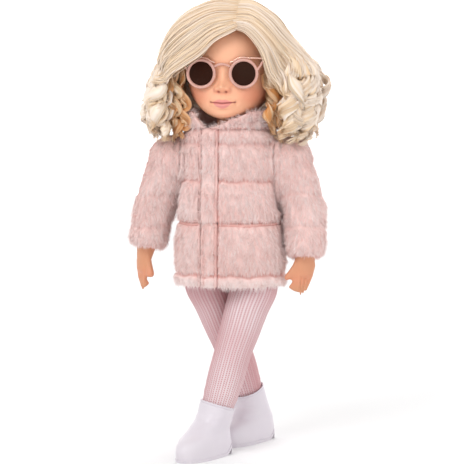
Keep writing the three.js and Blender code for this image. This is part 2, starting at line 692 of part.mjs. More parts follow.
function buildTorso() {
  let torso = torsoSkin(0, seatZ, neckRingZ, 8, 20);
  torso = torso.add(bar(at(-bossX, 0, shoulderZ), at(bossX, 0, shoulderZ), SHOULDER_DISC_RADIUS, 16));
  // Pocket of the neck flange and seat of the ring that keeps it in
  torso = torso.subtract(bar(neckAt(flangeBottom - FIT), neckAt(FAR), NECK_FLANGE_RADIUS + RUN, 20));
  torso = torso.subtract(bar(neckAt(neckRingZ - NECK_RING_HEIGHT - FIT), neckAt(FAR), NECK_RING_RADIUS + FIT, 20));
  const elasticBore = ELASTIC_RADIUS + FIT;
  torso = torso.subtract(bar(at(-FAR, 0, shoulderZ), at(FAR, 0, shoulderZ), elasticBore, 8));
  [1, -1].forEach((side) => {
    const reach = cupOuter + FIT;
    torso = torso.subtract(egg(hip(side), reach, reach, reach, 16, 10));
    torso = torso.subtract(bar(hip(side), hip(side).setZ(seatZ + ELASTIC_DEPTH + FIT), elasticBore, 8));
  });
  piece('torso', torso, 'cloth');

  const ringBottom = neckAt(neckRingZ - NECK_RING_HEIGHT);
  let ring = bar(ringBottom, neckAt(neckRingZ), NECK_RING_RADIUS, 20);
  ring = ring.subtract(bar(neckAt(shoulderZ), neckAt(chinZ), NECK_RADIUS + RUN, 20));
  piece('neck_ring', ring, 'plastic');

  const armEnd = shoulderX - ARM_DOME_RADIUS / 2;
  piece('arm_elastic', bar(at(-armEnd, 0, shoulderZ), at(armEnd, 0, shoulderZ), ELASTIC_RADIUS, 8), 'elastic');
  [['left', 1], ['right', -1]].forEach(([name, side]) => {
    let disc = bar(at(side * (bossX + FIT), 0, shoulderZ), at(side * discX, 0, shoulderZ), SHOULDER_DISC_RADIUS, 16);
    disc = disc.subtract(bar(at(0, 0, shoulderZ), at(side * FAR, 0, shoulderZ), elasticBore, 8));
    piece(`shoulder_disc_${name}`, disc, 'plastic');
  });

  const bandTop = seatZ + cupOuter - HIP_BALL_RADIUS + WAISTBAND_HEIGHT;
  let band = torsoSkin(FIT + WAISTBAND_WALL, seatZ + 2, bandTop, 2, 20);
  band = band.subtract(torsoSkin(FIT, seatZ - 1, bandTop + 1, 2, 20));
  piece('tights_waist', band, 'tights');
}

// Legs
const toeTurn = { left: -LEFT_TOE_IN, right: -RIGHT_TOE_OUT };
const legs = {
  left: { side: 1, along: leftLeg, reach: (ANKLE_HEIGHT - hipZ) / leftLeg.z },
  right: { side: -1, along: rightLeg, reach: (ANKLE_HEIGHT - hipZ) / rightLeg.z },
};

/** Leg and foot, grown by a gap or a layer of cloth. */
function legBody(name, grow, withFoot) {
  const { side, along, reach } = legs[name];
  const place = (s, out = 0, back = 0) => hip(side).addScaledVector(along, s).add(at(side * out, back, 0));
  const station = (s, radius, out, back) => ({ at: place(s, out, back), wide: radius + grow, deep: radius + grow });
  const stations = [
    station(10, HIP_BALL_RADIUS - 1, 0, 0),
    station(22, (HIP_BALL_RADIUS + THIGH_RADIUS) / 2, THIGH_OUT / 2, 0),
    station(38, THIGH_RADIUS, THIGH_OUT, 0),
    station(60, (THIGH_RADIUS * 2 + KNEE_RADIUS) / 3, THIGH_OUT / 2, 0),
    station(84, (THIGH_RADIUS + KNEE_RADIUS * 2) / 3, 1, 0),
    station(KNEE_AT, KNEE_RADIUS, 0, 0),
    station(CALF_AT, CALF_RADIUS, 0, 2),
    station(BOOT_RIM_AT - 4, SHIN_RADIUS, 0, 1),
    station(reach - 12, ANKLE_RADIUS, 0, 0),
    station(reach - 2, ANKLE_RADIUS - 2, 0, 0),
  ];
  let leg = solid(limb(stations, 14, at(1, 0, 0)));
  leg = leg.add(egg(hip(side), HIP_BALL_RADIUS + grow, HIP_BALL_RADIUS + grow, HIP_BALL_RADIUS + grow, 16, 10));
  if (!withFoot) return leg;
  const turn = rad(toeTurn[name]);
  const toe = at(Math.sin(turn), -Math.cos(turn), 0);
  const across = at(Math.cos(turn), Math.sin(turn), 0);
  const ankle = place(reach);
  const floor = SOLE_THICKNESS + BOOT_WALL;
  const foot = (ahead, radius, high, low) => {
    const middle = ankle.clone().addScaledVector(toe, ahead).setZ(floor + low + high);
    return { at: middle, wide: radius + grow, deep: high + grow };
  };
  const inside = BOOT_WIDTH / 2 - BOOT_WALL - 1.5;
  const stationsOfFoot = [
    foot(-BOOT_HEEL_LENGTH + 7, inside * 0.45, 6, HEEL_HEIGHT + 2),
    foot(-BOOT_HEEL_LENGTH + 10, inside * 0.72, 9, HEEL_HEIGHT + 1),
    foot(0, inside * 0.8, 12, HEEL_HEIGHT),
    foot(BOOT_TOE_LENGTH * 0.4, inside * 0.9, 8, 1),
    foot(BOOT_TOE_LENGTH - 15, inside * 0.85, 5.5, 1),
    foot(BOOT_TOE_LENGTH - 9, inside * 0.5, 3.5, 2),
  ];
  return leg.add(solid(limb(stationsOfFoot, 10, across)));
}

/** Boot outline at each height, turned to the toe and leaning with the leg. */
function bootSkin(name, grow, fromZ, toZ, rows) {
  const { side, along, reach } = legs[name];
  const ankle = hip(side).addScaledVector(along, reach);
  const shaft = SHIN_RADIUS + FIT * 2 + TIGHTS_WALL + BOOT_WALL;
  const instep = BOOT_TOE_HEIGHT + 14;
  const ahead = through([
    [0, BOOT_TOE_LENGTH - 1], [12, BOOT_TOE_LENGTH], [BOOT_TOE_HEIGHT * 0.75, BOOT_TOE_LENGTH - 6],
    [BOOT_TOE_HEIGHT, BOOT_TOE_LENGTH - 20], [instep, shaft + 2], [60, shaft], [80, shaft],
  ]);
  const behind = through([
    [0, BOOT_HEEL_LENGTH], [14, BOOT_HEEL_LENGTH], [instep, shaft], [60, shaft], [80, shaft],
  ]);
  const wide = through([
    [0, BOOT_WIDTH / 2], [14, BOOT_WIDTH / 2], [BOOT_TOE_HEIGHT, BOOT_HEEL_WIDTH / 2 + 1],
    [instep, shaft - 1.5], [60, shaft], [80, shaft],
  ]);
  const turn = rad(toeTurn[name]);
  const rings = [];
  for (let k = 0; k <= rows; k += 1) {
    const z = fromZ + (toZ - fromZ) * k / rows;
    const lean = Math.max(z - ANKLE_HEIGHT, 0) / along.z;
    const ring = levelRing(0, wide(z) + grow, ahead(z) + grow, behind(z) + grow, 20, 2.3);
    ring.forEach((point) => {
      point.applyAxisAngle(at(0, 0, 1), turn);
      point.add(at(ankle.x + along.x * lean, ankle.y + along.y * lean, z));
    });
    rings.push(ring);
  }
  return solid(loft(rings));
}

/** Slab across the boot whose side view is an outline of distance behind the ankle and height. */
function acrossBoot(name, outline) {
  const { side, along, reach } = legs[name];
  const ankle = hip(side).addScaledVector(along, reach);
  const shape = new THREE.Shape(outline.map(([y, z]) => new THREE.Vector2(y, z)));
  const geometry = new THREE.ExtrudeGeometry(shape, { depth: 200, bevelEnabled: false });
  geometry.translate(0, 0, -100);
  geometry.rotateX(Math.PI / 2);
  geometry.rotateZ(Math.PI / 2);
  geometry.rotateZ(rad(toeTurn[name]));
  geometry.translate(ankle.x, ankle.y, 0);
  return solid(geometry);
}

function buildLegs() {
  Object.keys(legs).forEach((name) => {
    const { side, along } = legs[name];
    const middle = hip(side);
    const elasticBore = ELASTIC_RADIUS + FIT;
    const cutBore = bar(middle, middle.clone().setZ(seatZ + FAR), elasticBore, 8);
    let cup = egg(middle, cupOuter, cupOuter, cupOuter, 16, 10);
    const ballRoom = HIP_BALL_RADIUS + RUN;
    cup = cup.subtract(egg(middle, ballRoom, ballRoom, ballRoom, 16, 10));
    cup = cup.intersect(beyond(at(0, 0, hipZ + cupOuter * Math.cos(rad(HIP_CUP_REACH))), at(0, 0, 1)));
    cup = cup.subtract(bar(middle, middle.clone().setZ(FAR), elasticBore + 2, 8));
    piece(`hip_cup_${name}`, cup, 'plastic');
    const cordTop = middle.clone().setZ(seatZ + ELASTIC_DEPTH);
    const cordLow = middle.clone().setZ(hipZ + 2);
    piece(`hip_elastic_${name}`, bar(cordLow, cordTop, ELASTIC_RADIUS, 8), 'elastic');

    piece(`leg_${name}`, legBody(name, 0, true).subtract(cutBore), 'vinyl');

    const sheathe = legBody(name, FIT + TIGHTS_WALL, false).subtract(legBody(name, FIT, false));
    const top = middle.clone().addScaledVector(along, TIGHTS_TOP_AT);
    const low = middle.clone().addScaledVector(along, BOOT_RIM_AT + 8);
    piece(`tights_${name}`, sheathe.intersect(beyond(top, along)).subtract(beyond(low, along)), 'tights');

    const rim = middle.clone().addScaledVector(along, BOOT_RIM_AT);
    const footRoom = legBody(name, FIT * 2 + TIGHTS_WALL, true);
    const soleTop = SOLE_THICKNESS;
    const heelTop = HEEL_HEIGHT + SOLE_THICKNESS;
    const under = (lift) => acrossBoot(name, [
      [-FAR, -FAR], [FAR, -FAR], [FAR, heelTop + lift], [ARCH_LENGTH, heelTop + lift], [0, soleTop + lift],
      [-FAR, soleTop + lift],
    ]);
    let upper = bootSkin(name, 0, 0.5, 75, 10).intersect(beyond(rim, along));
    upper = upper.subtract(footRoom).subtract(under(FIT));
    piece(`boot_${name}`, upper, 'boot');
    const plan = bootSkin(name, SOLE_WELT, 0, 14, 2);
    const sole = plan.intersect(under(0)).subtract(under(-SOLE_THICKNESS));
    piece(`sole_${name}`, sole, 'sole');
    const heel = plan.intersect(acrossBoot(name, [
      [HEEL_BREAST, 0], [FAR, 0], [FAR, HEEL_HEIGHT - FIT], [HEEL_BREAST, HEEL_HEIGHT - FIT],
    ]));
    piece(`heel_${name}`, heel, 'sole');
  });
}

buildTorso();
buildLegs();

// Jacket: seams by height, half-width and depth between them
const hemZ = hipZ - HEM_BELOW_HIP;
const lowerSeamZ = hipZ + LOWER_SEAM_ABOVE_HIP;
const upperSeamZ = hipZ + UPPER_SEAM_ABOVE_HIP;
const yokeZ = shoulderZ + YOKE_SEAM_ABOVE_SHOULDER;
const jacketTopZ = shoulderZ + JACKET_TOP_ABOVE_SHOULDER;
const seams = [hemZ, hemZ + HEM_BAND, lowerSeamZ, upperSeamZ, yokeZ, jacketTopZ];
const jacketWide = through([
  [hemZ, HEM_WIDTH / 2], [lowerSeamZ, HEM_WIDTH / 2 - 3], [upperSeamZ, JACKET_CHEST_WIDTH / 2 + 1.5],
  [yokeZ, JACKET_CHEST_WIDTH / 2], [jacketTopZ, JACKET_TOP_WIDTH / 2],
]);
const jacketDeep = through([
  [hemZ, HEM_DEPTH / 2], [lowerSeamZ, HEM_DEPTH / 2 - 1], [upperSeamZ, JACKET_CHEST_DEPTH / 2 + 1],
  [yokeZ, JACKET_CHEST_DEPTH / 2], [jacketTopZ, JACKET_TOP_DEPTH / 2],
]);
const armPlane = JACKET_CHEST_WIDTH / 2 + 1;
const sleeveFace = armPlane + SLEEVE_SIDE_GAP;

function jacketOuter(raise, sides) {
  const rings = [];
  const addRing = (z, crown) => {
    const wide = jacketWide(z) + crown + raise;
    const deep = jacketDeep(z) + crown + raise;
    rings.push(levelRing(z, wide, deep, deep, sides, 2.5));
  };
  for (let i = 0; i + 1 < seams.length; i += 1) {
    const tall = seams[i + 1] - seams[i];
    const steps = tall > 30 ? 4 : 2;
    for (let k = 0; k < steps; k += 1) {
      addRing(seams[i] + tall * k / steps, QUILT_CROWN * Math.sin(k / steps * Math.PI));
    }
  }
  addRing(jacketTopZ, 0);
  return solid(loft(rings));
}

function jacketInner(sides) {
  const rings = [hemZ - 1, ...seams.slice(2, 5), jacketTopZ + 1].map((z) => {
    const deep = jacketDeep(z) - JACKET_WALL;
    return levelRing(z, jacketWide(z) - JACKET_WALL, deep, deep, sides, 2.5);
  });
  return solid(loft(rings));
}

function buildJacket() {
  const room = jacketInner(24);
  const span = (lowX, highX, lowY, highY, lowZ, highZ) => block(at(lowX, lowY, lowZ), at(highX, highY, highZ));
  const armholes = (coat) => [1, -1].reduce((cut, side) => {
    const axis = (x) => at(side * x, 0, shoulderZ);
    const hole = bar(axis(WAIST_WIDTH / 2), axis(FAR), ARMHOLE_RADIUS, 16);
    return cut.subtract(hole).subtract(bar(axis(armPlane), axis(FAR), ARM_FLAT_RADIUS, 16));
  }, coat);
  const shell = armholes(jacketOuter(0, 28).subtract(room));
  const raised = armholes(jacketOuter(PLACKET_RAISE, 28).subtract(room));
  const front = SIDE_SEAM_BACK - FIT;
  const edge = PLACKET_LEFT_EDGE;
  const far = edge - PLACKET_WIDTH;
  const skirtTop = lowerSeamZ - FIT;
  piece('jacket_back', shell.intersect(span(-FAR, FAR, SIDE_SEAM_BACK, FAR, lowerSeamZ, FAR)), 'fleece');
  piece('jacket_front_left', shell.intersect(span(edge + FIT, FAR, -FAR, front, lowerSeamZ, FAR)), 'fleece');
  piece('jacket_front_right', shell.intersect(span(-FAR, far - FIT, -FAR, front, lowerSeamZ, FAR)), 'fleece');
  piece('jacket_placket', raised.intersect(span(far, edge, -FAR, 0, lowerSeamZ, FAR)), 'fleece');
  piece('skirt_back', shell.intersect(span(-FAR, FAR, SIDE_SEAM_BACK, FAR, 0, skirtTop)), 'fleece');
  piece('skirt_front_left', shell.intersect(span(edge + FIT, FAR, -FAR, front, 0, skirtTop)), 'fleece');
  piece('skirt_front_right', shell.intersect(span(-FAR, far - FIT, -FAR, front, 0, skirtTop)), 'fleece');
  piece('skirt_placket', raised.intersect(span(far, edge, -FAR, 0, 0, skirtTop)), 'fleece');

  // Stand collar, open at the front in a notch beside the placket
  const low = jacketTopZ + FIT;
  const high = low + COLLAR_HEIGHT;
  const wall = (outset, lowZ, highZ) => solid(loft([lowZ, highZ].map((z) => {
    const lean = COLLAR_FLARE * (z - low) / COLLAR_HEIGHT;
    const deep = JACKET_TOP_DEPTH / 2 + lean + outset;
    return levelRing(z, JACKET_TOP_WIDTH / 2 + lean + outset, deep, deep, 24, 2.2);
  })));
  const notch = new THREE.Shape([
    [far + 5, low - 1], [edge + 1, low + 3], [COLLAR_OPEN_LEFT, high + 2], [-COLLAR_OPEN_RIGHT, high + 2],
  ].map(([x, z]) => new THREE.Vector2(x, z)));
  const notchBody = new THREE.ExtrudeGeometry(notch, { depth: FAR, bevelEnabled: false });
  notchBody.rotateX(Math.PI / 2);
  const opening = solid(notchBody).add(headSkin(1, 10, 22));
  const split = -COLLAR_WALL - FIT;
  const collar = wall(0, low, high).subtract(wall(-COLLAR_WALL, low - 1, high + 1));
  piece('collar', collar.subtract(opening), 'fleece');
  const lining = wall(split, low, high - 1).subtract(wall(split - LINING_WALL, low - 1, high + 1));
  piece('collar_lining', lining.subtract(opening), 'lining');
}

// Arms, in a frame at the shoulder
const arms = {
  left: { side: 1, swing: LEFT_ARM_FORWARD, elbow: LEFT_ELBOW_OUT, wrist: LEFT_WRIST_OUT, cuff: LEFT_CUFF_DROP },
  right: { side: -1, swing: -RIGHT_ARM_BACK, elbow: RIGHT_ELBOW_OUT, wrist: RIGHT_WRIST_OUT, cuff: RIGHT_CUFF_DROP },
};

function armPath(name) {
  const { side, elbow, wrist } = arms[name];
  return (drop, forward = 0) => {
    const upper = Math.min(drop / ELBOW_DROP, 1);
    const lower = Math.max(drop - ELBOW_DROP, 0) / (WRIST_DROP - ELBOW_DROP);
    const out = elbow * upper + (wrist - elbow) * lower;
    return at(side * out, ELBOW_BACK * upper - WRIST_FORWARD * lower - forward, -drop);
  };
}

function armBody(name, grow, withHand = true) {
  const { side } = arms[name];
  const path = armPath(name);
  const round = (drop, radius) => ({ at: path(drop), wide: radius + grow, deep: radius + grow });
  const dome = ARM_DOME_RADIUS + grow;
  let arm = egg(at(0, 0, 0), dome, dome, dome, 14, 8);
  const palm = (drop, thick, wide) => ({ at: path(drop), wide: thick / 2 + grow, deep: wide / 2 + grow });
  arm = arm.add(solid(limb([
    round(2, UPPER_ARM_RADIUS), round(ELBOW_DROP / 2, UPPER_ARM_RADIUS), round(ELBOW_DROP, ELBOW_RADIUS),
    round((ELBOW_DROP + WRIST_DROP) / 2, (ELBOW_RADIUS + WRIST_RADIUS) / 2), round(WRIST_DROP, WRIST_RADIUS),
    palm(WRIST_DROP + HAND_LENGTH * 0.25, PALM_THICKNESS, PALM_WIDTH),
    palm(WRIST_DROP + HAND_LENGTH * 0.52, PALM_THICKNESS * 0.8, PALM_WIDTH * 0.96),
    palm(WRIST_DROP + HAND_LENGTH * 0.58, PALM_THICKNESS * 0.5, PALM_WIDTH * 0.8),
  ], 12, at(1, 0, 0))));
  if (!withHand) return arm;
  const knuckle = WRIST_DROP + HAND_LENGTH * 0.5;
  const finger = PALM_WIDTH / 8;
  [-3, -1, 1, 3].forEach((row) => {
    const reach = HAND_LENGTH * (0.5 - Math.abs(row + 0.6) * 0.03);
    const stations = [0, 0.55, 0.9, 1].map((t) => {
      const place = path(knuckle + reach * t, -row * finger * (1 - 0.12 * t)).add(at(-side * 5 * t * t, 0, 0));
      const radius = finger * (t > 0.95 ? 0.5 : 1.02 - 0.15 * t) + grow;
      return { at: place, wide: radius * 1.1, deep: radius };
    });
    arm = arm.add(solid(limb(stations, 6, at(1, 0, 0))));
  });
  const thumb = [0, 0.5, 0.88, 1].map((t) => {
    const drop = WRIST_DROP + HAND_LENGTH * 0.18 + THUMB_LENGTH * 0.86 * t;
    const place = path(drop, PALM_WIDTH * 0.3 + THUMB_LENGTH * 0.42 * t).add(at(-side * 3 * t, 0, 0));
    const radius = THUMB_RADIUS * (t > 0.95 ? 0.55 : 1) + grow;
    return { at: place, wide: radius, deep: radius };
  });
  return arm.add(solid(limb(thumb, 6, at(1, 0, 0))));
}

function sleeveBody(name, inset, endDrop, cuffRadius) {
  const path = armPath(name);
  const cap = SLEEVE_SHOULDER_RADIUS - inset;
  const round = (drop, radius) => ({ at: path(drop), wide: radius - inset, deep: radius - inset });
  const stations = [
    round(2, SLEEVE_SHOULDER_RADIUS - 2), round(ELBOW_DROP / 2, SLEEVE_RADIUS + 1.5), round(ELBOW_DROP, SLEEVE_RADIUS),
    round((ELBOW_DROP + endDrop) / 2, SLEEVE_RADIUS), round(endDrop - 6, SLEEVE_RADIUS - 1), round(endDrop, cuffRadius),
  ];
  return egg(at(0, 0, 0), cap, cap, cap, 14, 8).add(solid(limb(stations, 14, at(1, 0, 0))));
}

function buildArms() {
  Object.keys(arms).forEach((name) => {
    const { side, swing, cuff } = arms[name];
    const shoulder = new THREE.Group();
    shoulder.position.set(side * shoulderX, 0, shoulderZ);
    shoulder.rotation.x = -rad(swing);
    doll.add(shoulder);
    const faceIn = at(side * (discX + RUN - shoulderX), 0, 0);
    let arm = armBody(name, 0).intersect(beyond(faceIn, at(side, 0, 0)));
    const boreEnd = at(side * (-ARM_DOME_RADIUS / 2 + FIT), 0, 0);
    arm = arm.subtract(bar(at(-side * FAR, 0, 0), boreEnd, ELASTIC_RADIUS + RUN, 10));
    piece(`arm_${name}`, arm, 'vinyl', shoulder);
    let sleeve = sleeveBody(name, 0, cuff, CUFF_RADIUS);
    sleeve = sleeve.intersect(beyond(at(side * (sleeveFace - shoulderX), 0, 0), at(side, 0, 0)));
    sleeve = sleeve.subtract(sleeveBody(name, SLEEVE_WALL, cuff - CUFF_DEPTH, CUFF_RADIUS));
    sleeve = sleeve.subtract(armBody(name, FIT, false));
    piece(`sleeve_${name}`, sleeve, 'fleece', shoulder);
  });
}

buildJacket();
buildArms();

// The origin lies on the floor under the middle of the doll
doll.updateMatrixWorld(true);
const reachOfDoll = new THREE.Box3().setFromObject(doll, true);
doll.position.set(
  -(reachOfDoll.min.x + reachOfDoll.max.x) / 2,
  -(reachOfDoll.min.y + reachOfDoll.max.y) / 2,
  -reachOfDoll.min.z,
);

export default doll;
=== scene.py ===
"""Play doll that stands with its legs crossed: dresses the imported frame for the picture.

Lengths are millimetres in the maker's own frame, with the doll's middle at x = 0 and the hips at y = 0,
unless a docstring says metres. Points go to metres in the row frame only when a mesh is made.
"""

import logging
import math
from dataclasses import dataclass, field
from enum import Enum
from typing import Callable, Iterable, Sequence

import bpy
import numpy as np
from mathutils import Matrix, Vector


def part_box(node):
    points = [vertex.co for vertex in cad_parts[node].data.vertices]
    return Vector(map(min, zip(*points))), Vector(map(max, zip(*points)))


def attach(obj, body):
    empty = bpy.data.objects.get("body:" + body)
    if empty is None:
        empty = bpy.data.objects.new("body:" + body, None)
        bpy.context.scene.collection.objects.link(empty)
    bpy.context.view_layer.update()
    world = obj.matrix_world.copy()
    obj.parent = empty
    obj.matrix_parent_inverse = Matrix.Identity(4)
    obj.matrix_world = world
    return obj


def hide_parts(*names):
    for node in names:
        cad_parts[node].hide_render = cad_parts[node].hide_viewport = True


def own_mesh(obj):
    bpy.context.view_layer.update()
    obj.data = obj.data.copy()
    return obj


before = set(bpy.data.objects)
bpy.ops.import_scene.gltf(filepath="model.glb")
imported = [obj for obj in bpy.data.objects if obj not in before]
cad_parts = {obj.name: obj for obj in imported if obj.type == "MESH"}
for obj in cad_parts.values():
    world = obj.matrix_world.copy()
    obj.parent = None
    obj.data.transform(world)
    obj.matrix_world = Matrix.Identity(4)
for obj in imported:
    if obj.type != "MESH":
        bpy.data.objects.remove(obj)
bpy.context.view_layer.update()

LOG = logging.getLogger("doll")
Array = np.ndarray
Shape = Callable[[Array, Array], Array]
Colour = tuple[float, float, float]
Piece = bpy.types.Object
Socket = bpy.types.NodeSocket

TURN = 2 * math.pi
# Distances of the neck and of the hair's middle behind the hips.
NECK_BACK, HAIR_BACK = 4.0, 8.0
# Distance of the shoulder joints from the doll's middle.
SHOULDER_OUT = 60.0
# Share of the deep tone in knit that has no ribs of its own.
PLAIN_SHADE = 0.66
# Length that keeps a direction of no length from dividing by nought.
TINY = 1e-9


class Side(Enum):
    """Left and right of the doll, with the sign of x on that side."""

    LEFT = 1
    RIGHT = -1

    @property
    def word(self) -> str:
        """Name of the side as the CAD nodes spell it."""
        return self.name.lower()


class Tone(Enum):
    """Colours of the doll, as linear values."""

    SKIN = (0.91, 0.475, 0.30)
    # Colour of the painted shade that darkens the hands.
    TAN = (0.56, 0.24, 0.125)
    # Rosy paint of the cheeks, also the colour of painted shade beside the nose.
    BLUSH = (0.80, 0.27, 0.17)
    LIP = (0.78, 0.30, 0.265)
    # Dark paint of the mouth line and nostrils, also the colour of painted shade round the nose and under the
    # lower lip.
    LINES_AND_SHADE = (0.30, 0.06, 0.05)
    FLEECE = (0.85, 0.60, 0.56)
    # Deep pink of the cloudy patches, also the colour of painted shade in the seams.
    FLEECE_DEEP = (0.74, 0.36, 0.315)
    # Pale colour of the pile's tips; the deeper roots are painted shade.
    FLEECE_PALE = (0.97, 0.90, 0.885)
    HAIR = (0.84, 0.635, 0.42)
    HAIR_PALE = (0.91, 0.785, 0.68)
    # Golden colour of the painted shade in the hair, deepest by the face.
    HAIR_DEEP = (0.62, 0.27, 0.085)
    KNIT = (0.79, 0.68, 0.70)
    # Skin through the holes, also the colour of painted shade on the tights.
    KNIT_DEEP = (0.56, 0.27, 0.285)
    BOOT = (0.71, 0.66, 0.705)
    # Colour of the stitched line and of the painted shade by the sole.
    BOOT_DEEP = (0.52, 0.46, 0.52)
    ROSE = (0.64, 0.35, 0.285)
    LENS = (0.027, 0.007, 0.0035)


def floor_shift() -> Array:
    """Distance from the maker's frame to the row frame, in millimetres.

    Returns:
        The shift in x, y and z, read from the ring round the neck, which stands at x = 0.
    """
    low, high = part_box("neck_ring")
    return np.array([(low.x + high.x) * 500.0, (low.y + high.y) * 500.0 - NECK_BACK, 0.0])


SHIFT = floor_shift()


def to_row(points: Array) -> Array:
    """Millimetres in the maker's frame to metres in the row frame."""
    return (np.asarray(points, float) + SHIFT) / 1000.0


def from_row(points: Array) -> Array:
    """Metres in the row frame to millimetres in the maker's frame."""
    return np.asarray(points, float) * 1000.0 - SHIFT


def smoothstep(low: float, high: float, value: Array) -> Array:
    """Soft ramp from 0 at low to 1 at high."""
    t = np.clip((np.asarray(value, float) - low) / (high - low), 0.0, 1.0)
    return t * t * (3.0 - 2.0 * t)


def bump(value: Array, middle: float, spread: float) -> Array:
    """Bell curve of height 1."""
    return np.exp(-(((value - middle) / spread) ** 2))


def drawn(value: Array, edge: float, keep: Array) -> Array:
    """Distances past an edge, drawn back to a share of what they were."""
    return edge + (value - edge) * keep


def unit(ways: Array, least: float = 0.0) -> Array:
    """Directions drawn to length 1, with a least length added for those that may be nil."""
    return ways / (np.linalg.norm(ways, axis=-1, keepdims=True) + least)


def through(pairs: Sequence[tuple[float, float]]) -> Callable[[Array], Array]:
    """Smooth curve through a few (position, value) pairs.

    Args:
        pairs: Positions in rising order with the value at each.

    Returns:
        A function that gives the value at any position.
    """
    xs = np.array([p[0] for p in pairs], float)
    ys = np.array([p[1] for p in pairs], float)
    slope = np.array([
        (ys[min(i + 1, len(ys) - 1)] - ys[max(i - 1, 0)]) / (xs[min(i + 1, len(xs) - 1)] - xs[max(i - 1, 0)])
        for i in range(len(xs))
    ])

    def curve(x: Array) -> Array:
        """Value of the curve at x.

        Args:
            x: Positions.

        Returns:
            The value at each.
        """
        x = np.asarray(x, float)
        i = np.clip(np.searchsorted(xs, x, side="right") - 1, 0, len(xs) - 2)
        span = xs[i + 1] - xs[i]
        t = np.clip((x - xs[i]) / span, 0.0, 1.0)
        return ((2 * t**3 - 3 * t**2 + 1) * ys[i] + (t**3 - 2 * t**2 + t) * span * slope[i]
                + (3 * t**2 - 2 * t**3) * ys[i + 1] + (t**3 - t**2) * span * slope[i + 1])

    return curve


def line_through(points: Array) -> Callable[[Array], Array]:
    """Smooth line through a row of points.

    Args:
        points: Places that the line runs through.

    Returns:
        A function that gives the places at shares of the line from 0 to 1.
    """
    at = np.linspace(0, 1, len(points))
    runs = [through(list(zip(at, points[:, k]))) for k in range(3)]
    return lambda share: np.stack([run(share) for run in runs], 1)


def ring(turn: Array, wide: Array, front: Array, back: Array, fullness: float = 2.0) -> tuple[Array, Array]:
    """Point on a level oval.

    Args:
        turn: Angle from +x towards +y.
        wide: Half-width.
        front: Depth towards -y.
        back: Depth towards +y.
        fullness: 2 for an ellipse, more for a squarer oval.

    Returns:
        x and y of the point.
    """
    c, s = np.cos(turn), np.sin(turn)
    x = np.sign(c) * np.abs(c) ** (2 / fullness) * wide
    y = np.sign(s) * np.abs(s) ** (2 / fullness) * np.where(s < 0, front, back)
    return x, y


def ripple(points: Array, length: float, seed: int) -> Array:
    """Soft uneven waves over space, between about -1 and 1.

    Args:
        points: Places in millimetres.
        length: Usual wave length.
        seed: Number that picks the waves.

    Returns:
        One value for each point.
    """
    rng = np.random.default_rng(seed)
    total = np.zeros(len(points))
    for _ in range(7):
        way = rng.normal(size=3)
        way /= np.linalg.norm(way)
        total += np.sin(points @ way * (TURN / (length * rng.uniform(0.7, 1.5))) + rng.uniform(0, 6.28))
    return total / 4.0


def deselect() -> None:
    """Leaves object mode with nothing selected."""
    if bpy.context.object is not None and bpy.context.object.mode != "OBJECT":
        bpy.ops.object.mode_set(mode="OBJECT")
    bpy.ops.object.select_all(action="DESELECT")


def choose(*objects: Piece) -> None:
    """Selects these objects alone and makes the first one active.

    Args:
        *objects: Objects to select.
    """
    deselect()
    for obj in objects:
        obj.select_set(True)
    bpy.context.view_layer.objects.active = objects[0]


def active(name: str) -> Piece:
    """Names the object an operator has just added.

    Args:
        name: Its new name.

    Returns:
        The object.
    """
    obj = bpy.context.object
    obj.name = name
    obj.data.name = name
    return obj


def settle(obj: Piece) -> None:
    """Puts an object's place, turn and scale into its mesh."""
    choose(obj)
    bpy.ops.object.transform_apply(location=True, rotation=True, scale=True)


def modify(obj: Piece, kind: str, **settings: object) -> None:
    """Adds a modifier and applies it.

    Args:
        obj: Piece to change.
        kind: Blender's name of the modifier type.
        **settings: Values of the modifier's properties.
    """
    choose(obj)
    modifier = obj.modifiers.new(kind.title(), kind)
    for key, value in settings.items():
        setattr(modifier, key, value)
    bpy.ops.object.modifier_apply(modifier=modifier.name)


def read(obj: Piece, key: str) -> Array:
    """Values of one kind at the points of a mesh, in rows of three.

    Args:
        obj: Piece to read.
        key: Name of the values.

    Returns:
        One row for each point.
    """
    flat = np.zeros(len(obj.data.vertices) * 3, np.float32)
    obj.data.vertices.foreach_get(key, flat)
    return flat.reshape(-1, 3).astype(float)


def coords(obj: Piece) -> Array:
    """Points of a mesh, in millimetres in the maker's frame."""
    return from_row(read(obj, "co"))


def normals(obj: Piece) -> Array:
    """Normal at each point of a mesh."""
    return read(obj, "normal")


def place(obj: Piece, points: Array) -> None:
    """Moves a mesh's points to these places in the maker's frame."""
    obj.data.vertices.foreach_set("co", to_row(points).astype(np.float32).ravel())
    obj.data.update()


def mark(obj: Piece, name: str, values: Array) -> None:
    """Stores one number for each point of a mesh, for its material to read."""
    layer = obj.data.attributes.get(name) or obj.data.attributes.new(name, "FLOAT", "POINT")
    layer.data.foreach_set("value", np.asarray(values, np.float32))


def smooth_shade(obj: Piece, angle: float | None = None) -> None:
    """Shades a mesh smooth, with sharp edges past an angle in degrees where one is given.

    Args:
        obj: Piece to shade.
        angle: Angle of the sharp edges, or none of them.
    """
    choose(obj)
    if angle is None:
        bpy.ops.object.shade_smooth()
    else:
        bpy.ops.object.shade_smooth_by_angle(angle=math.radians(angle))


def merge(obj: Piece, distance: float = 0.01, outwards: bool = True) -> None:
    """Joins points that meet, and turns the faces outwards.

    Args:
        obj: Piece to clean.
        distance: Points nearer than this are one, in millimetres.
        outwards: Whether the normals are recalculated.
    """
    choose(obj)
    bpy.ops.object.mode_set(mode="EDIT")
    bpy.ops.mesh.select_all(action="SELECT")
    bpy.ops.mesh.remove_doubles(threshold=distance / 1000.0)
    if outwards:
        bpy.ops.mesh.normals_make_consistent(inside=False)
    bpy.ops.object.mode_set(mode="OBJECT")


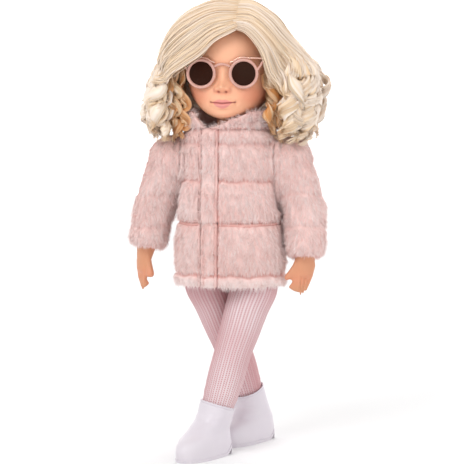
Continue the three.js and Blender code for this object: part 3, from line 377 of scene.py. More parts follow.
def surface(name: str, across: int, along: int, shape: Shape, masks: dict[str, Shape] | None = None,
            joined: bool = True) -> Piece:
    """Grid drawn out into a curved surface.

    Args:
        name: Name of the piece.
        across: Faces along u.
        along: Faces along v.
        shape: Gives the points for u and v from 0 to 1.
        masks: Numbers to store at each point, from u and v.
        joined: Whether edges that meet are joined and the faces turned outwards.

    Returns:
        The new object, smooth shaded, with u and v as its UV map.
    """
    deselect()
    bpy.ops.mesh.primitive_grid_add(x_subdivisions=across, y_subdivisions=along, size=2.0, calc_uvs=True)
    obj = active(name)
    u, v, _ = np.clip((read(obj, "co") + 1) / 2, 0, 1).T
    place(obj, shape(u, v))
    for key, value in (masks or {}).items():
        mark(obj, key, value(u, v))
    if joined:
        merge(obj)
    smooth_shade(obj)
    return obj


def mesh_of(name: str, points: Array, faces: Array, marks: dict[str, Array] | None = None) -> Piece:
    """Mesh made straight from points and faces of one size, for strands and nap.

    Args:
        name: Name of the piece.
        points: Places in millimetres.
        faces: Rows of point numbers, three or four each.
        marks: Numbers to store at each point.

    Returns:
        The new object, smooth shaded.
    """
    mesh = bpy.data.meshes.new(name)
    count, corners = faces.shape
    mesh.vertices.add(len(points))
    mesh.vertices.foreach_set("co", to_row(points).astype(np.float32).ravel())
    mesh.loops.add(count * corners)
    mesh.loops.foreach_set("vertex_index", faces.astype(np.int32).ravel())
    mesh.polygons.add(count)
    mesh.polygons.foreach_set("loop_start", np.arange(0, count * corners, corners, dtype=np.int32))
    mesh.polygons.foreach_set("use_smooth", np.ones(count, bool))
    mesh.update(calc_edges=True)
    obj = bpy.data.objects.new(name, mesh)
    bpy.context.scene.collection.objects.link(obj)
    for key, value in (marks or {}).items():
        mark(obj, key, value)
    return obj


def node_copy(node: str, name: str, voxel: float, rounds: int, grow: float = 0.0) -> Piece:
    """Smooth copy of a CAD node.

    Args:
        node: Name of the node.
        name: Name of the new piece.
        voxel: Grain of the remesh, in millimetres.
        rounds: Smoothing rounds after it.
        grow: Distance by which it is grown at last.

    Returns:
        A closed mesh in the node's place.
    """
    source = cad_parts[node]
    obj = bpy.data.objects.new(name, source.data.copy())
    obj.data.name = name
    obj.data.materials.clear()
    bpy.context.scene.collection.objects.link(obj)
    merge(obj, 0.005, outwards=False)
    modify(obj, "REMESH", mode="VOXEL", voxel_size=voxel / 1000.0, use_smooth_shade=True)
    modify(obj, "SMOOTH", factor=0.5, iterations=rounds)
    smooth_shade(obj)
    if grow:
        place(obj, coords(obj) + grow * normals(obj))
    return obj


def tube(name: str, points: Array, radius: float | Sequence[float], sides: int = 12, steps: int = 4,
         flat: float = 1.0) -> Piece:
    """Round bar that follows a line of points, with closed ends.

    Args:
        name: Name of the piece.
        points: Places that the bar runs through.
        radius: Radius, or one for each point.
        sides: Faces round the bar.
        steps: Faces between two points.
        flat: Thickness against width, 1 for round.

    Returns:
        The new object.
    """
    line = np.asarray(points, float)
    radii = np.broadcast_to(np.asarray(radius, float), len(line))
    nearby, nearly_up = 0.004, (0.05, 0.1, 1.0)
    place_at, thick = line_through(line), through(list(zip(np.linspace(0, 1, len(line)), radii)))

    def shape(u: Array, v: Array) -> Array:
        """Points round the line.

        Args:
            u: Share across.
            v: Share along.

        Returns:
            Points of the surface.
        """
        ahead = unit(place_at(np.minimum(v + nearby, 1)) - place_at(np.maximum(v - nearby, 0)))
        aside = unit(np.cross(ahead, nearly_up))
        up = np.cross(aside, ahead)
        end = np.minimum(np.minimum(v, 1 - v) * (len(line) - 1) * 4, 1.0)
        r = thick(v) * np.sqrt(np.maximum(1 - (1 - end) ** 2, 0))
        turn = u * TURN
        return place_at(v) + aside * (r * flat * np.cos(turn))[:, None] + up * (r * np.sin(turn))[:, None]

    return surface(name, sides, steps * (len(line) - 1), shape)


def dress(obj: Piece, *finishes: bpy.types.Material) -> None:
    """Gives an object these materials alone, in this order.

    Args:
        obj: Piece to dress.
        *finishes: Its materials.
    """
    obj.data.materials.clear()
    for finish in finishes:
        obj.data.materials.append(finish)


def fit(obj: Piece, body: str, slot: str, *nodes: str) -> None:
    """Ties a piece to the frame.

    Args:
        obj: Finished piece.
        body: CAD body that it moves with.
        slot: Material slot of the record; not used.
        *nodes: CAD nodes that it stands for.
    """
    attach(obj, body)
    if nodes:
        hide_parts(*nodes)
    LOG.info("%s: %d faces on %s", obj.name, len(obj.data.polygons), body)


class Nodes:
    """Builds the nodes of one material or node group."""

    def __init__(self, tree: bpy.types.NodeTree) -> None:
        """Starts from an empty tree."""
        self.tree = tree
        tree.nodes.clear()

    def add(self, kind: str, inputs: dict[str | int, object] | None = None, **settings: object
            ) -> bpy.types.Node:
        """One node with its inputs set or linked.

        Args:
            kind: Blender's name of the node type.
            inputs: Values or sockets by input name or number.
            **settings: Values of the node's properties.

        Returns:
            The new node.
        """
        node = self.tree.nodes.new(kind)
        for key, value in settings.items():
            setattr(node, key, value)
        for key, value in (inputs or {}).items():
            if isinstance(value, Socket):
                self.tree.links.new(value, node.inputs[key])
            else:
                node.inputs[key].default_value = value
        return node

    def math(self, operation: str, *values: object) -> Socket:
        """Result of one sum on numbers or sockets."""
        return self.add("ShaderNodeMath", dict(enumerate(values)), operation=operation).outputs[0]

    def ramp(self, value: Socket, low: float, high: float, to: tuple[float, float] = (0.0, 1.0)
             ) -> Socket:
        """Soft ramp of a value from low to high.

        Args:
            value: Value to spread.
            low: Where the ramp begins.
            high: Where it ends.
            to: Results at both ends.

        Returns:
            The result.
        """
        node = self.add("ShaderNodeMapRange", {0: value, 1: low, 2: high, 3: to[0], 4: to[1]},
                        interpolation_type="SMOOTHSTEP")
        return node.outputs[0]

    def mix(self, mask: object, first: object, second: object) -> Socket:
        """Colour between two colours or sockets.

        Args:
            mask: Share of the second colour.
            first: First colour.
            second: Second colour.

        Returns:
            The mixed colour.
        """
        node = self.add("ShaderNodeMix", data_type="RGBA")
        for key, value in ((0, mask), (6, first), (7, second)):
            if isinstance(value, Socket):
                self.tree.links.new(value, node.inputs[key])
            else:
                node.inputs[key].default_value = value if key == 0 else (*value, 1.0)
        return node.outputs[2]

    def attribute(self, name: str) -> Socket:
        """Number stored at each point of the mesh."""
        return self.add("ShaderNodeAttribute", attribute_name=name).outputs["Fac"]

    def noise(self, scale: object, detail: float) -> Socket:
        """Cloudy value over the piece, with a scale per metre."""
        where = self.add("ShaderNodeTexCoord").outputs["Object"]
        return self.add("ShaderNodeTexNoise", {"Vector": where, "Scale": scale, "Detail": detail}).outputs[0]

    def times(self, first: Socket, second: object) -> Socket:
        """Product of two values."""
        return self.math("MULTIPLY", first, second)


def node_group(name: str, inputs: dict[str, float], outputs: Iterable[str]
               ) -> tuple[bpy.types.NodeTree, Nodes]:
    """Empty shader group with number sockets.

    Args:
        name: Name of the group.
        inputs: Name and usual value of each input.
        outputs: Names of the outputs.

    Returns:
        The group and the builder of its nodes.
    """
    tree = bpy.data.node_groups.new(name, "ShaderNodeTree")
    for key, value in inputs.items():
        tree.interface.new_socket(key, in_out="INPUT", socket_type="NodeSocketFloat").default_value = value
    for key in outputs:
        tree.interface.new_socket(key, in_out="OUTPUT", socket_type="NodeSocketFloat")
    return tree, Nodes(tree)


def cloud_group() -> bpy.types.NodeTree:
    """Shared effect: broad cloudy shading, as a mask between 0 and 1.

    Returns:
        The group.
    """
    tree, nodes = node_group("cloudy_shade", {"Scale": 30.0, "Spread": 0.5}, ["Mask"])
    inside = nodes.add("NodeGroupInput")
    cloud = nodes.noise(inside.outputs["Scale"], 4.0)
    low = nodes.math("SUBTRACT", 0.5, nodes.times(inside.outputs["Spread"], 0.5))
    high = nodes.math("ADD", 0.5, nodes.times(inside.outputs["Spread"], 0.5))
    nodes.add("NodeGroupOutput", {"Mask": nodes.ramp(cloud, low, high)})
    return tree


def grain_group() -> bpy.types.NodeTree:
    """Shared effect: fine grain of a moulded or woven surface, as a height and a wear mask.

    Returns:
        The group.
    """
    tree, nodes = node_group("fine_grain", {"Scale": 900.0, "Coarse": 120.0}, ["Height", "Wear"])
    inside = nodes.add("NodeGroupInput")
    fine = nodes.noise(inside.outputs["Scale"], 2.0)
    broad = nodes.noise(inside.outputs["Coarse"], 5.0)
    height = nodes.math("ADD", nodes.times(fine, 0.5), broad)
    nodes.add("NodeGroupOutput", {"Height": height, "Wear": nodes.ramp(broad, 0.45, 0.7)})
    return tree


def rib_group() -> bpy.types.NodeTree:
    """Shared effect: ribs that run along a piece's own v, with rows of small holes between them.

    Returns:
        The group.
    """
    tree, nodes = node_group("ribs_and_holes", {"Ribs": 22.0, "Rows": 150.0}, ["Rib", "Hole"])
    inside = nodes.add("NodeGroupInput")
    place_uv = nodes.add("ShaderNodeTexCoord").outputs["UV"]
    apart = nodes.add("ShaderNodeSeparateXYZ", {0: place_uv})
    turn = nodes.times(apart.outputs[0], inside.outputs["Ribs"])
    rib_at = nodes.math("FRACT", turn)
    rib = nodes.ramp(nodes.math("ABSOLUTE", nodes.math("SUBTRACT", rib_at, 0.5)), 0.30, 0.40)
    rows = nodes.times(apart.outputs[1], inside.outputs["Rows"])
    column = nodes.times(rib_at, 2.0)
    shift_row = nodes.times(nodes.math("MODULO", nodes.math("FLOOR", column), 2.0), 0.5)
    across = nodes.math("SUBTRACT", nodes.math("FRACT", column), 0.5)
    along = nodes.math("SUBTRACT", nodes.math("FRACT", nodes.math("ADD", rows, shift_row)), 0.5)
    far = nodes.math("SQRT", nodes.math("ADD", nodes.times(across, across),
                                        nodes.times(along, along)))
    hole = nodes.times(nodes.ramp(far, 0.26, 0.46, (1.0, 0.0)), nodes.math("SUBTRACT", 1.0, rib))
    nodes.add("NodeGroupOutput", {"Rib": rib, "Hole": hole})
    return tree


CLOUD = cloud_group()
GRAIN = grain_group()
RIBS = rib_group()


@dataclass(frozen=True)
class Finish:
    """Finish of one kind of surface.

    Attributes:
        name: Name of the material.
        tone: Main colour.
        deep: Colour in the cloudy patches.
        patch: Scale of the patches per metre.
        depth: How far the patches change the colour.
        rough: Roughness at its smoothest.
        uneven: Roughness that the grain adds.
        grain: Scale of the fine grain per metre.
        relief: Height of the grain, in metres.
        extra: Other constant values of the shader, by socket name.
    """

    name: str
    tone: Colour
    deep: Colour
    patch: float = 30.0
    depth: float = 0.4
    rough: float = 0.5
    uneven: float = 0.15
    grain: float = 900.0
    relief: float = 0.0001
    extra: dict[str, object] = field(default_factory=dict)

    def colour(self, nodes: Nodes) -> Socket:
        """Base colour: the main tone with cloudy patches of the deep one.

        Args:
            nodes: Builder of the material's nodes.

        Returns:
            The colour.
        """
        cloud = nodes.add("ShaderNodeGroup", {"Scale": self.patch}, node_tree=CLOUD)
        return nodes.mix(nodes.times(cloud.outputs["Mask"], self.depth), self.tone, self.deep)

    def height(self, nodes: Nodes, grain: bpy.types.Node) -> Socket:
        """Height of the surface: the fine grain."""
        return grain.outputs["Height"]

    def material(self) -> bpy.types.Material:
        """Builds the material, or gives the one that is built already.

        Returns:
            A material with colour, roughness and relief from its nodes.
        """
        made = bpy.data.materials.get(self.name)
        if made is not None:
            return made
        made = bpy.data.materials.new(self.name)
        made.use_nodes = True
        nodes = Nodes(made.node_tree)
        grain = nodes.add("ShaderNodeGroup", {"Scale": self.grain, "Coarse": self.grain / 8}, node_tree=GRAIN)
        rough = nodes.ramp(grain.outputs["Wear"], 0.0, 1.0, (self.rough, self.rough + self.uneven))
        relief = nodes.add("ShaderNodeBump", {"Height": self.height(nodes, grain), "Distance": self.relief,
                                              "Strength": 0.6})
        shader = nodes.add("ShaderNodeBsdfPrincipled", {
            "Base Color": self.colour(nodes), "Roughness": rough, "Normal": relief.outputs[0], **self.extra,
        })
        nodes.add("ShaderNodeOutputMaterial", {"Surface": shader.outputs[0]})
        return made


@dataclass(frozen=True)
class PaintedFinish(Finish):
    """Surface with coats of colour over each other, each where a mark of the mesh says.

    Attributes:
        coats: Mark, strength and colour of each coat, the lowest first.
    """

    coats: tuple[tuple[str, float, Colour], ...] = ()

    def colour(self, nodes: Nodes) -> Socket:
        """Main colour with the coats on it.

        Args:
            nodes: Builder of the material's nodes.

        Returns:
            The colour.
        """
        colour = super().colour(nodes)
        for name, strength, tone in self.coats:
            colour = nodes.mix(nodes.times(nodes.attribute(name), strength), colour, tone)
        return colour


@dataclass(frozen=True)
class HairFinish(Finish):
    """Fine synthetic hair, from golden painted shade in the depth to cream outside, read from the mesh's own
    marks.
    """

    def colour(self, nodes: Nodes) -> Socket:
        """Three tones along the mark tint, whose low end is painted shade.

        Args:
            nodes: Builder of the material's nodes.

        Returns:
            The colour.
        """
        tint = nodes.attribute("tint")
        low = nodes.mix(nodes.ramp(tint, 0.0, 0.5), Tone.HAIR_DEEP.value, Tone.HAIR.value)
        return nodes.mix(nodes.ramp(tint, 0.45, 1.0), low, Tone.HAIR_PALE.value)


@dataclass(frozen=True)
class KnitFinish(Finish):
    """Thin knitted tights with ribs and rows of small holes along the leg."""

    ribs: float = 21.0
    rows: float = 72.0

    def colour(self, nodes: Nodes) -> Socket:
        """Pale knit with the skin showing faintly through the holes.

        Args:
            nodes: Builder of the material's nodes.

        Returns:
            The colour.
        """
        knit = nodes.add("ShaderNodeGroup", {"Ribs": self.ribs, "Rows": self.rows}, node_tree=RIBS)
        # The mark shade deepens the knit: painted shade on the tights, an even tone on the plain knit.
        base = nodes.mix(nodes.times(nodes.attribute("shade"), 0.8), super().colour(nodes), self.deep)
        ribbed = nodes.mix(nodes.times(knit.outputs["Rib"], 0.12), base, (0.76, 0.64, 0.64))
        return nodes.mix(nodes.times(knit.outputs["Hole"], 0.95), ribbed, Tone.KNIT_DEEP.value)

    def height(self, nodes: Nodes, grain: bpy.types.Node) -> Socket:
        """Ribs stand up and holes go down.

        Args:
            nodes: Builder of the material's nodes.
            grain: Grain group of the material.

        Returns:
            The height.
        """
        knit = nodes.add("ShaderNodeGroup", {"Ribs": self.ribs, "Rows": self.rows}, node_tree=RIBS)
        up = nodes.math("SUBTRACT", knit.outputs["Rib"], nodes.times(knit.outputs["Hole"], 0.7))
        return nodes.math("ADD", up, nodes.times(grain.outputs["Height"], 0.2))


@dataclass(frozen=True)
class StripeFinish(Finish):
    """Thin striped lining cloth, with the stripes on the piece's own UV map."""

    stripes: float = 40.0

    def colour(self, nodes: Nodes) -> Socket:
        """Mauve cloth with pale upright stripes.

        Args:
            nodes: Builder of the material's nodes.

        Returns:
            The colour.
        """
        where = nodes.add("ShaderNodeSeparateXYZ", {0: nodes.add("ShaderNodeTexCoord").outputs["UV"]})
        wave = nodes.math("SINE", nodes.times(where.outputs[0], self.stripes * TURN))
        return nodes.mix(nodes.ramp(wave, -0.2, 0.2), super().colour(nodes), (0.86, 0.66, 0.66))


# Coats of the fleece: pale tips over deeper roots, the difference being painted shade, and painted shade in
# the seams.
NAP_COATS = (("tint", 1.0, Tone.FLEECE_PALE.value), ("seam", 0.85, Tone.FLEECE_DEEP.value))
# Coats of the vinyl: painted shade on the hands, blush with painted shade by the nose, lips, lines with
# painted shade round the nose and lip, and ink.
VINYL = PaintedFinish(
    "soft_vinyl", Tone.SKIN.value, (0.74, 0.36, 0.20), 22, 0.35, 0.46, 0.12, 1500, 0.00004,
    {"Specular IOR Level": 0.4, "Subsurface Weight": 0.06, "Subsurface Scale": 0.004,
     "Subsurface Radius": (1.0, 0.35, 0.2)},
    (("tan", 0.75, Tone.TAN.value), ("blush", 0.55, Tone.BLUSH.value), ("lip", 1.0, Tone.LIP.value),
     ("lines_and_shade", 1.0, Tone.LINES_AND_SHADE.value), ("ink", 1.0, (0.09, 0.045, 0.025))))
FLEECE = PaintedFinish(
    "fleece_ground", Tone.FLEECE.value, Tone.FLEECE_DEEP.value, 60, 0.3, 0.9, 0.1, 700, 0.0006,
    {"Specular IOR Level": 0.05}, NAP_COATS)
PILE = PaintedFinish(
    "fleece_pile", Tone.FLEECE.value, Tone.FLEECE_DEEP.value, 60, 0.25, 0.85, 0.1, 900, 0.0001,
    {"Specular IOR Level": 0.05}, NAP_COATS)
STRANDS = HairFinish(
    "hair_strands", Tone.HAIR.value, Tone.HAIR_DEEP.value, 30, 0.3, 0.42, 0.1, 900, 0.00005,
    {"Specular IOR Level": 0.3})
KNIT = KnitFinish(
    "ribbed_knit", Tone.KNIT.value, Tone.KNIT_DEEP.value, 28, 0.25, 0.75, 0.15, 1800, 0.0004,
    {"Specular IOR Level": 0.2, "Sheen Weight": 0.2, "Sheen Roughness": 0.4})
BOOT = PaintedFinish(
    "smooth_boot", Tone.BOOT.value, (0.65, 0.59, 0.66), 25, 0.45, 0.36, 0.14, 1300, 0.00006,
    {"Specular IOR Level": 0.4, "Sheen Weight": 0.1}, (("mark", 1.0, Tone.BOOT_DEEP.value),))
SOLE = Finish("boot_sole", Tone.BOOT.value, (0.66, 0.60, 0.66), 60, 0.5, 0.55, 0.2, 1100, 0.0001)
RIM = Finish(
    "rose_rim", Tone.ROSE.value, (0.58, 0.30, 0.25), 45, 0.4, 0.2, 0.1, 1600, 0.00002,
    {"Coat Weight": 0.4, "Coat Roughness": 0.1})
WIRE = Finish(
    "rose_gold_wire", (0.86, 0.56, 0.46), (0.72, 0.40, 0.30), 70, 0.5, 0.24, 0.14, 1800, 0.00002,
    {"Metallic": 0.85})
LENS = Finish(
    "dark_lens", Tone.LENS.value, (0.035, 0.018, 0.012), 30, 0.6, 0.06, 0.04, 1500, 0.00001,
    {"Coat Weight": 0.02, "Coat Roughness": 0.05, "Specular IOR Level": 0.04})
LINING = StripeFinish(
    "striped_lining", (0.52, 0.27, 0.27), (0.40, 0.18, 0.18), 50, 0.4, 0.7, 0.15, 1600, 0.0002)
CLOTH = Finish("body_cloth", (0.82, 0.62, 0.50), (0.74, 0.52, 0.40), 40, 0.4, 0.85, 0.1, 2200, 0.0003)
MOULDED = Finish("moulded_plastic", (0.80, 0.78, 0.74), (0.68, 0.66, 0.62), 50, 0.4, 0.4, 0.2, 1200, 0.0001)
ELASTIC = Finish("white_elastic", (0.85, 0.84, 0.80), (0.72, 0.70, 0.66), 90, 0.5, 0.7, 0.2, 2500, 0.0003)
WEIGHT = Finish(
    "dull_metal", (0.42, 0.42, 0.44), (0.30, 0.30, 0.32), 60, 0.5, 0.4, 0.25, 1200, 0.0001, {"Metallic": 0.9})
EYE = PaintedFinish(
    "doll_eye", (0.88, 0.87, 0.84), (0.80, 0.78, 0.75), 60, 0.3, 0.12, 0.05, 1500, 0.00001,
    {"Coat Weight": 0.6, "Coat Roughness": 0.03},
    (("iris", 1.0, (0.16, 0.07, 0.03)), ("pupil", 1.0, (0.006, 0.005, 0.005)),
     ("lid", 1.0, Tone.SKIN.value), ("ink", 1.0, (0.03, 0.016, 0.01))))


@dataclass
class Heights:
    """Heights of the doll's main points above the floor."""

    hip: float = 202.896
    shoulder: float = 295.896
    chin: float = 335.896
    eye: float = 382.896
    hem_band: float = 182.896
    lower_seam: float = 234.396
    upper_seam: float = 276.896
    yoke: float = 313.896
    jacket_top: float = 327.896


UP = Heights()


@dataclass
class Head:
    """Hollow vinyl head with its painted face and neck."""

    tall: float = 111.0
    wide: float = 43.5
    face_depth: float = 46.0
    skull_depth: float = 48.0
    widest: float = 60.0
    mouth: float = 18.2
    mouth_half: float = 12.4
    eye_up: float = 47.0
    eye_out: float = 20.0

    def section(self, h: Array) -> tuple[Array, Array, Array]:
        """Half-width, face depth and skull depth at a height above the chin.

        Args:
            h: Heights above the chin.

        Returns:
            The three distances at each height.
        """
        above = h > self.widest
        u = np.minimum(np.abs(h - self.widest) / np.where(above, self.tall - self.widest, self.widest), 1.0)
        swell = lambda high, low: np.sqrt(np.maximum(1 - u ** np.where(above, high, low), 0))
        dent = 3.5 * bump(h, 47.0, 10.0)
        return (swell(2.0, 2.8) * self.wide, swell(2.2, 16.0) * self.face_depth - dent * swell(2.2, 16.0),
                swell(2.0, 1.9) * self.skull_depth)

    def mouth_line(self, x: Array) -> Array:
        """Height of the line between the lips above the chin."""
        return self.mouth + 0.7 * (x / self.mouth_half) ** 2 - 0.35 * bump(x, 0, 3.0)

    def lips(self, x: Array, h: Array) -> Array:
        """Mask of the painted lips.

        Args:
            x: Places towards the doll's left.
            h: Heights above the chin.

        Returns:
            1 on the lips and 0 elsewhere.
        """
        t = np.minimum(np.abs(x) / self.mouth_half, 1.0)
        line = self.mouth_line(x)
        top = line + 0.5 * (1 - t) + 3.7 * (1 - np.minimum(t * 1.25, 1) ** 1.7) - 0.9 * bump(x, 0, 2.0)
        low = line - 0.4 * (1 - t) - 4.9 * (1 - np.minimum(t * 1.3, 1) ** 2.2)
        inside = smoothstep(-0.35, 0.35, top - h) * smoothstep(-0.35, 0.35, h - low)
        return inside * smoothstep(1.02, 0.97, np.abs(x) / self.mouth_half)

    def almond(self, x: Array, h: Array, grow: float = 0.0) -> Array:
        """Mask of the two eye openings.

        Args:
            x: Places towards the doll's left.
            h: Heights above the chin.
            grow: Distance by which the openings are widened.

        Returns:
            1 in the openings and 0 elsewhere.
        """
        t = np.clip(np.abs(np.abs(x) - self.eye_out) / (8.2 + grow), 0, 1)
        top = self.eye_up + (5.4 + grow) * (1 - t**2) ** 0.8
        low = self.eye_up - (4.6 + grow) * (1 - t**2) ** 0.9
        return smoothstep(-0.3, 0.3, top - h) * smoothstep(-0.3, 0.3, h - low) * (t < 1)

    def forward(self, x: Array, h: Array) -> Array:
        """How far the features stand forward of the plain face.

        Args:
            x: Places towards the doll's left.
            h: Heights above the chin.

        Returns:
            Distance forward at each place.
        """
        side = np.abs(x)
        ridge = through([(0, 0), (24, 0), (28.3, 0.2), (30.2, 3.0), (33.5, 9.2), (36.5, 7.6), (41, 3.6),
                         (47, 2.0), (54, 0.9), (62, 0), (111, 0)])
        spread = through([(0, 5), (28, 5.0), (33.5, 4.9), (38, 3.9), (47, 3.4), (60, 5), (111, 5)])
        out = ridge(h) * np.exp(-((x / spread(h)) ** 2))
        out += 3.0 * bump(side, 5.9, 2.0) * bump(h, 31.6, 2.4)
        out -= 2.0 * bump(side, 3.5, 1.3) * bump(h, 29.3, 1.0)
        taper = np.sqrt(np.maximum(1 - (x / (self.mouth_half + 0.6)) ** 2, 0))
        line = self.mouth_line(x)
        out += 1.7 * taper * bump(h, line + 1.9, 1.7) + 2.3 * taper * bump(h, line - 2.3, 2.0)
        out -= 1.3 * np.sqrt(taper) * bump(h, line, 0.6)
        out += 1.0 * bump(x, 0, 14) * bump(h, 19, 8)
        out -= 1.3 * bump(h, 10.6, 2.2) * bump(x, 0, 8) + 0.5 * bump(x, 0, 1.7) * bump(h, 25, 2.6)
        out -= 1.0 * bump(side, 13.8, 2.2) * bump(h, 18.6, 2.2)
        out += 2.0 * bump(x, 0, 8) * bump(h, 5.5, 4.5)
        out += 2.4 * bump(side, 25, 9) * bump(h, 28, 9)
        out -= 1.2 * bump(side, self.eye_out, 10) * bump(h, 47, 7)
        out += 0.8 * self.almond(x, h, 1.6)
        out -= 5.6 * self.almond(x, h)
        return out

    def plain(self, u: Array, v: Array) -> tuple[Array, Array, Array]:
        """x, y and height above the chin before the features.

        Args:
            u: Share across.
            v: Share along.

        Returns:
            The three at each u and v.
        """
        s = np.sin((2 * v - 1) * math.pi / 2)
        h = self.widest + s * np.where(s < 0, self.widest, self.tall - self.widest)
        wide, front, back = self.section(h)
        aside = 2 * u - 1
        turn = 1.5 * math.pi + math.pi * (0.42 * aside + 0.58 * aside**3)
        x, y = ring(turn, wide, front, back)
        return x, y, h

    def shape(self, u: Array, v: Array) -> Array:
        """Points of the head, with the features on its front alone."""
        x, y, h = self.plain(u, v)
        return np.stack([x, y - self.forward(x, h) * smoothstep(0.0, 14.0, -y), UP.chin + h], 1)

    def on_face(self, mask: Callable[[Array, Array], Array]) -> Shape:
        """Mask that is 0 on the back of the head.

        Args:
            mask: Mask by x and height.

        Returns:
            The mask by u and v.
        """
        def value(u: Array, v: Array) -> Array:
            """Mask at u and v."""
            x, y, h = self.plain(u, v)
            return mask(x, h) * (y < -4)
        return value

    def lines(self, x: Array, h: Array) -> Array:
        """Line between the lips, its corners and the nostrils, with painted shade by the nose wings, under
        the nose and under the lower lip.

        Args:
            x: Places towards the doll's left.
            h: Heights above the chin.

        Returns:
            Strength of the lines.
        """
        line = self.mouth_line(x)
        along = bump(h, line, 0.6) * smoothstep(1.06, 0.98, np.abs(x) / self.mouth_half)
        corner = bump(np.abs(x), self.mouth_half - 0.2, 1.1) * bump(h, line, 0.8)
        nostril = bump(np.abs(x), 3.9, 1.5) * bump(h, 29.3, 0.95)
        # The wings and the line under the nose are painted shade, and the last term is a painted shadow under
        # the lower lip.
        wing = bump(np.abs(x), 8.4, 1.2) * bump(h, 31.2, 2.6)
        under = bump(h, 28.4, 1.2) * bump(x, 0, 6.0)
        return np.clip(0.95 * along + 0.7 * corner + 0.85 * nostril + 0.26 * wing + 0.26 * under
                       + 0.2 * bump(h, line - 6.3, 0.8) * bump(x, 0, 6), 0, 1)

    def blush(self, x: Array, h: Array) -> Array:
        """Rosy cheeks, with painted shade beside the nose and under its tip, and a little colour on the chin
        and lids.

        Args:
            x: Places towards the doll's left.
            h: Heights above the chin.

        Returns:
            Strength of the blush.
        """
        cheek = 1.5 * bump(np.abs(x), 27, 10) * bump(h, 26, 8.5)
        # Painted shade beside the nose and under its tip.
        extra = 0.75 * bump(np.abs(x), 6.5, 3.0) * bump(h, 29.5, 2.6)
        extra += 0.6 * bump(x, 0, 5) * bump(h, 27.6, 1.8)
        extra += 0.2 * bump(x, 0, 9) * bump(h, 4, 5)
        return np.clip(cheek + extra + 0.5 * bump(np.abs(x), 20, 9) * bump(h, 54, 3.0), 0, 1)

    def ink(self, x: Array, h: Array) -> Array:
        """Thin brows and the line along the upper lids.

        Args:
            x: Places towards the doll's left.
            h: Heights above the chin.

        Returns:
            Strength of the ink.
        """
        side = np.abs(x)
        arch = 57.6 + 1.6 * (1 - ((side - 19) / 10) ** 2)
        brow = bump(h, arch, 0.8) * smoothstep(10, 13, side) * smoothstep(31, 27, side)
        edge = self.almond(x, h, 0.9) * (1 - self.almond(x, h)) * smoothstep(47.5, 49.0, h)
        return np.clip(0.45 * brow + 0.8 * edge, 0, 1)

    def build(self) -> None:
        """Models the face, paints its marks and ties it to the head."""
        face = surface("face", 300, 240, self.shape, {
            "lip": self.on_face(self.lips), "lines_and_shade": self.on_face(self.lines),
            "blush": self.on_face(self.blush), "ink": self.on_face(self.ink),
        })
        neck = surface("neck", 48, 16, self.neck)
        choose(face, neck)
        bpy.ops.object.join()
        dress(face, VINYL.material())
        fit(face, "head", "vinyl", "head")

    def neck(self, u: Array, v: Array) -> Array:
        """Neck from the flange under the collar up into the head.

        Args:
            u: Share across.
            v: Share along.

        Returns:
            Points of the surface.
        """
        radius = through([(0, 17.0), (0.14, 17.4), (0.18, 15.2), (0.5, 14.3), (1, 15.2)])(v)
        turn = u * TURN
        z = UP.chin - 19.6 + 33.0 * v
        return np.stack([radius * np.cos(turn), NECK_BACK + radius * np.sin(turn), z], 1)


@dataclass
class SleepingEyes:
    """Two balls on a weighted bar, with lids that come down as they roll."""

    radius: float = 9.2
    out: float = 20.0
    y: float = -27.57

    def ball(self, side: Side) -> None:
        """One eye with its iris, pupil, lid and lashes marked.

        Args:
            side: Side of the doll.
        """
        def way(u: Array, v: Array) -> Array:
            """Direction from the middle of the ball."""
            turn, rise = u * TURN, (v - 0.5) * math.pi
            return np.stack([np.sin(rise), -np.cos(rise) * np.cos(turn), np.cos(rise) * np.sin(turn)], 1)

        middle = np.array([side.value * self.out, self.y, UP.eye])
        off = lambda u, v: np.degrees(np.arccos(np.clip(-way(u, v)[:, 1], -1, 1)))
        lift = lambda u, v: np.degrees(np.arctan2(way(u, v)[:, 2], -way(u, v)[:, 1]))
        lidded = lambda u, v: smoothstep(31, 33, lift(u, v)) * smoothstep(162, 158, lift(u, v))
        ball = surface(f"eyeball_{side.word}", 96, 48, lambda u, v: middle + self.radius * way(u, v), {
            "iris": lambda u, v: smoothstep(33, 30, off(u, v)),
            "pupil": lambda u, v: np.maximum(smoothstep(15, 13, off(u, v)), 0.7 * bump(off(u, v), 32, 1.6)),
            "lid": lidded,
            "ink": lambda u, v: bump(lift(u, v), 30.5, 2.2),
        })
        dress(ball, EYE.material())
        fit(ball, "eyes", "eye", f"eye_{side.word}")

    def build(self) -> None:
        """Both eyes, and the bar and weight behind them."""
        for side in Side:
            self.ball(side)
        for node in ("eye_bar", "eye_weight"):
            dress(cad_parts[node], WEIGHT.material())


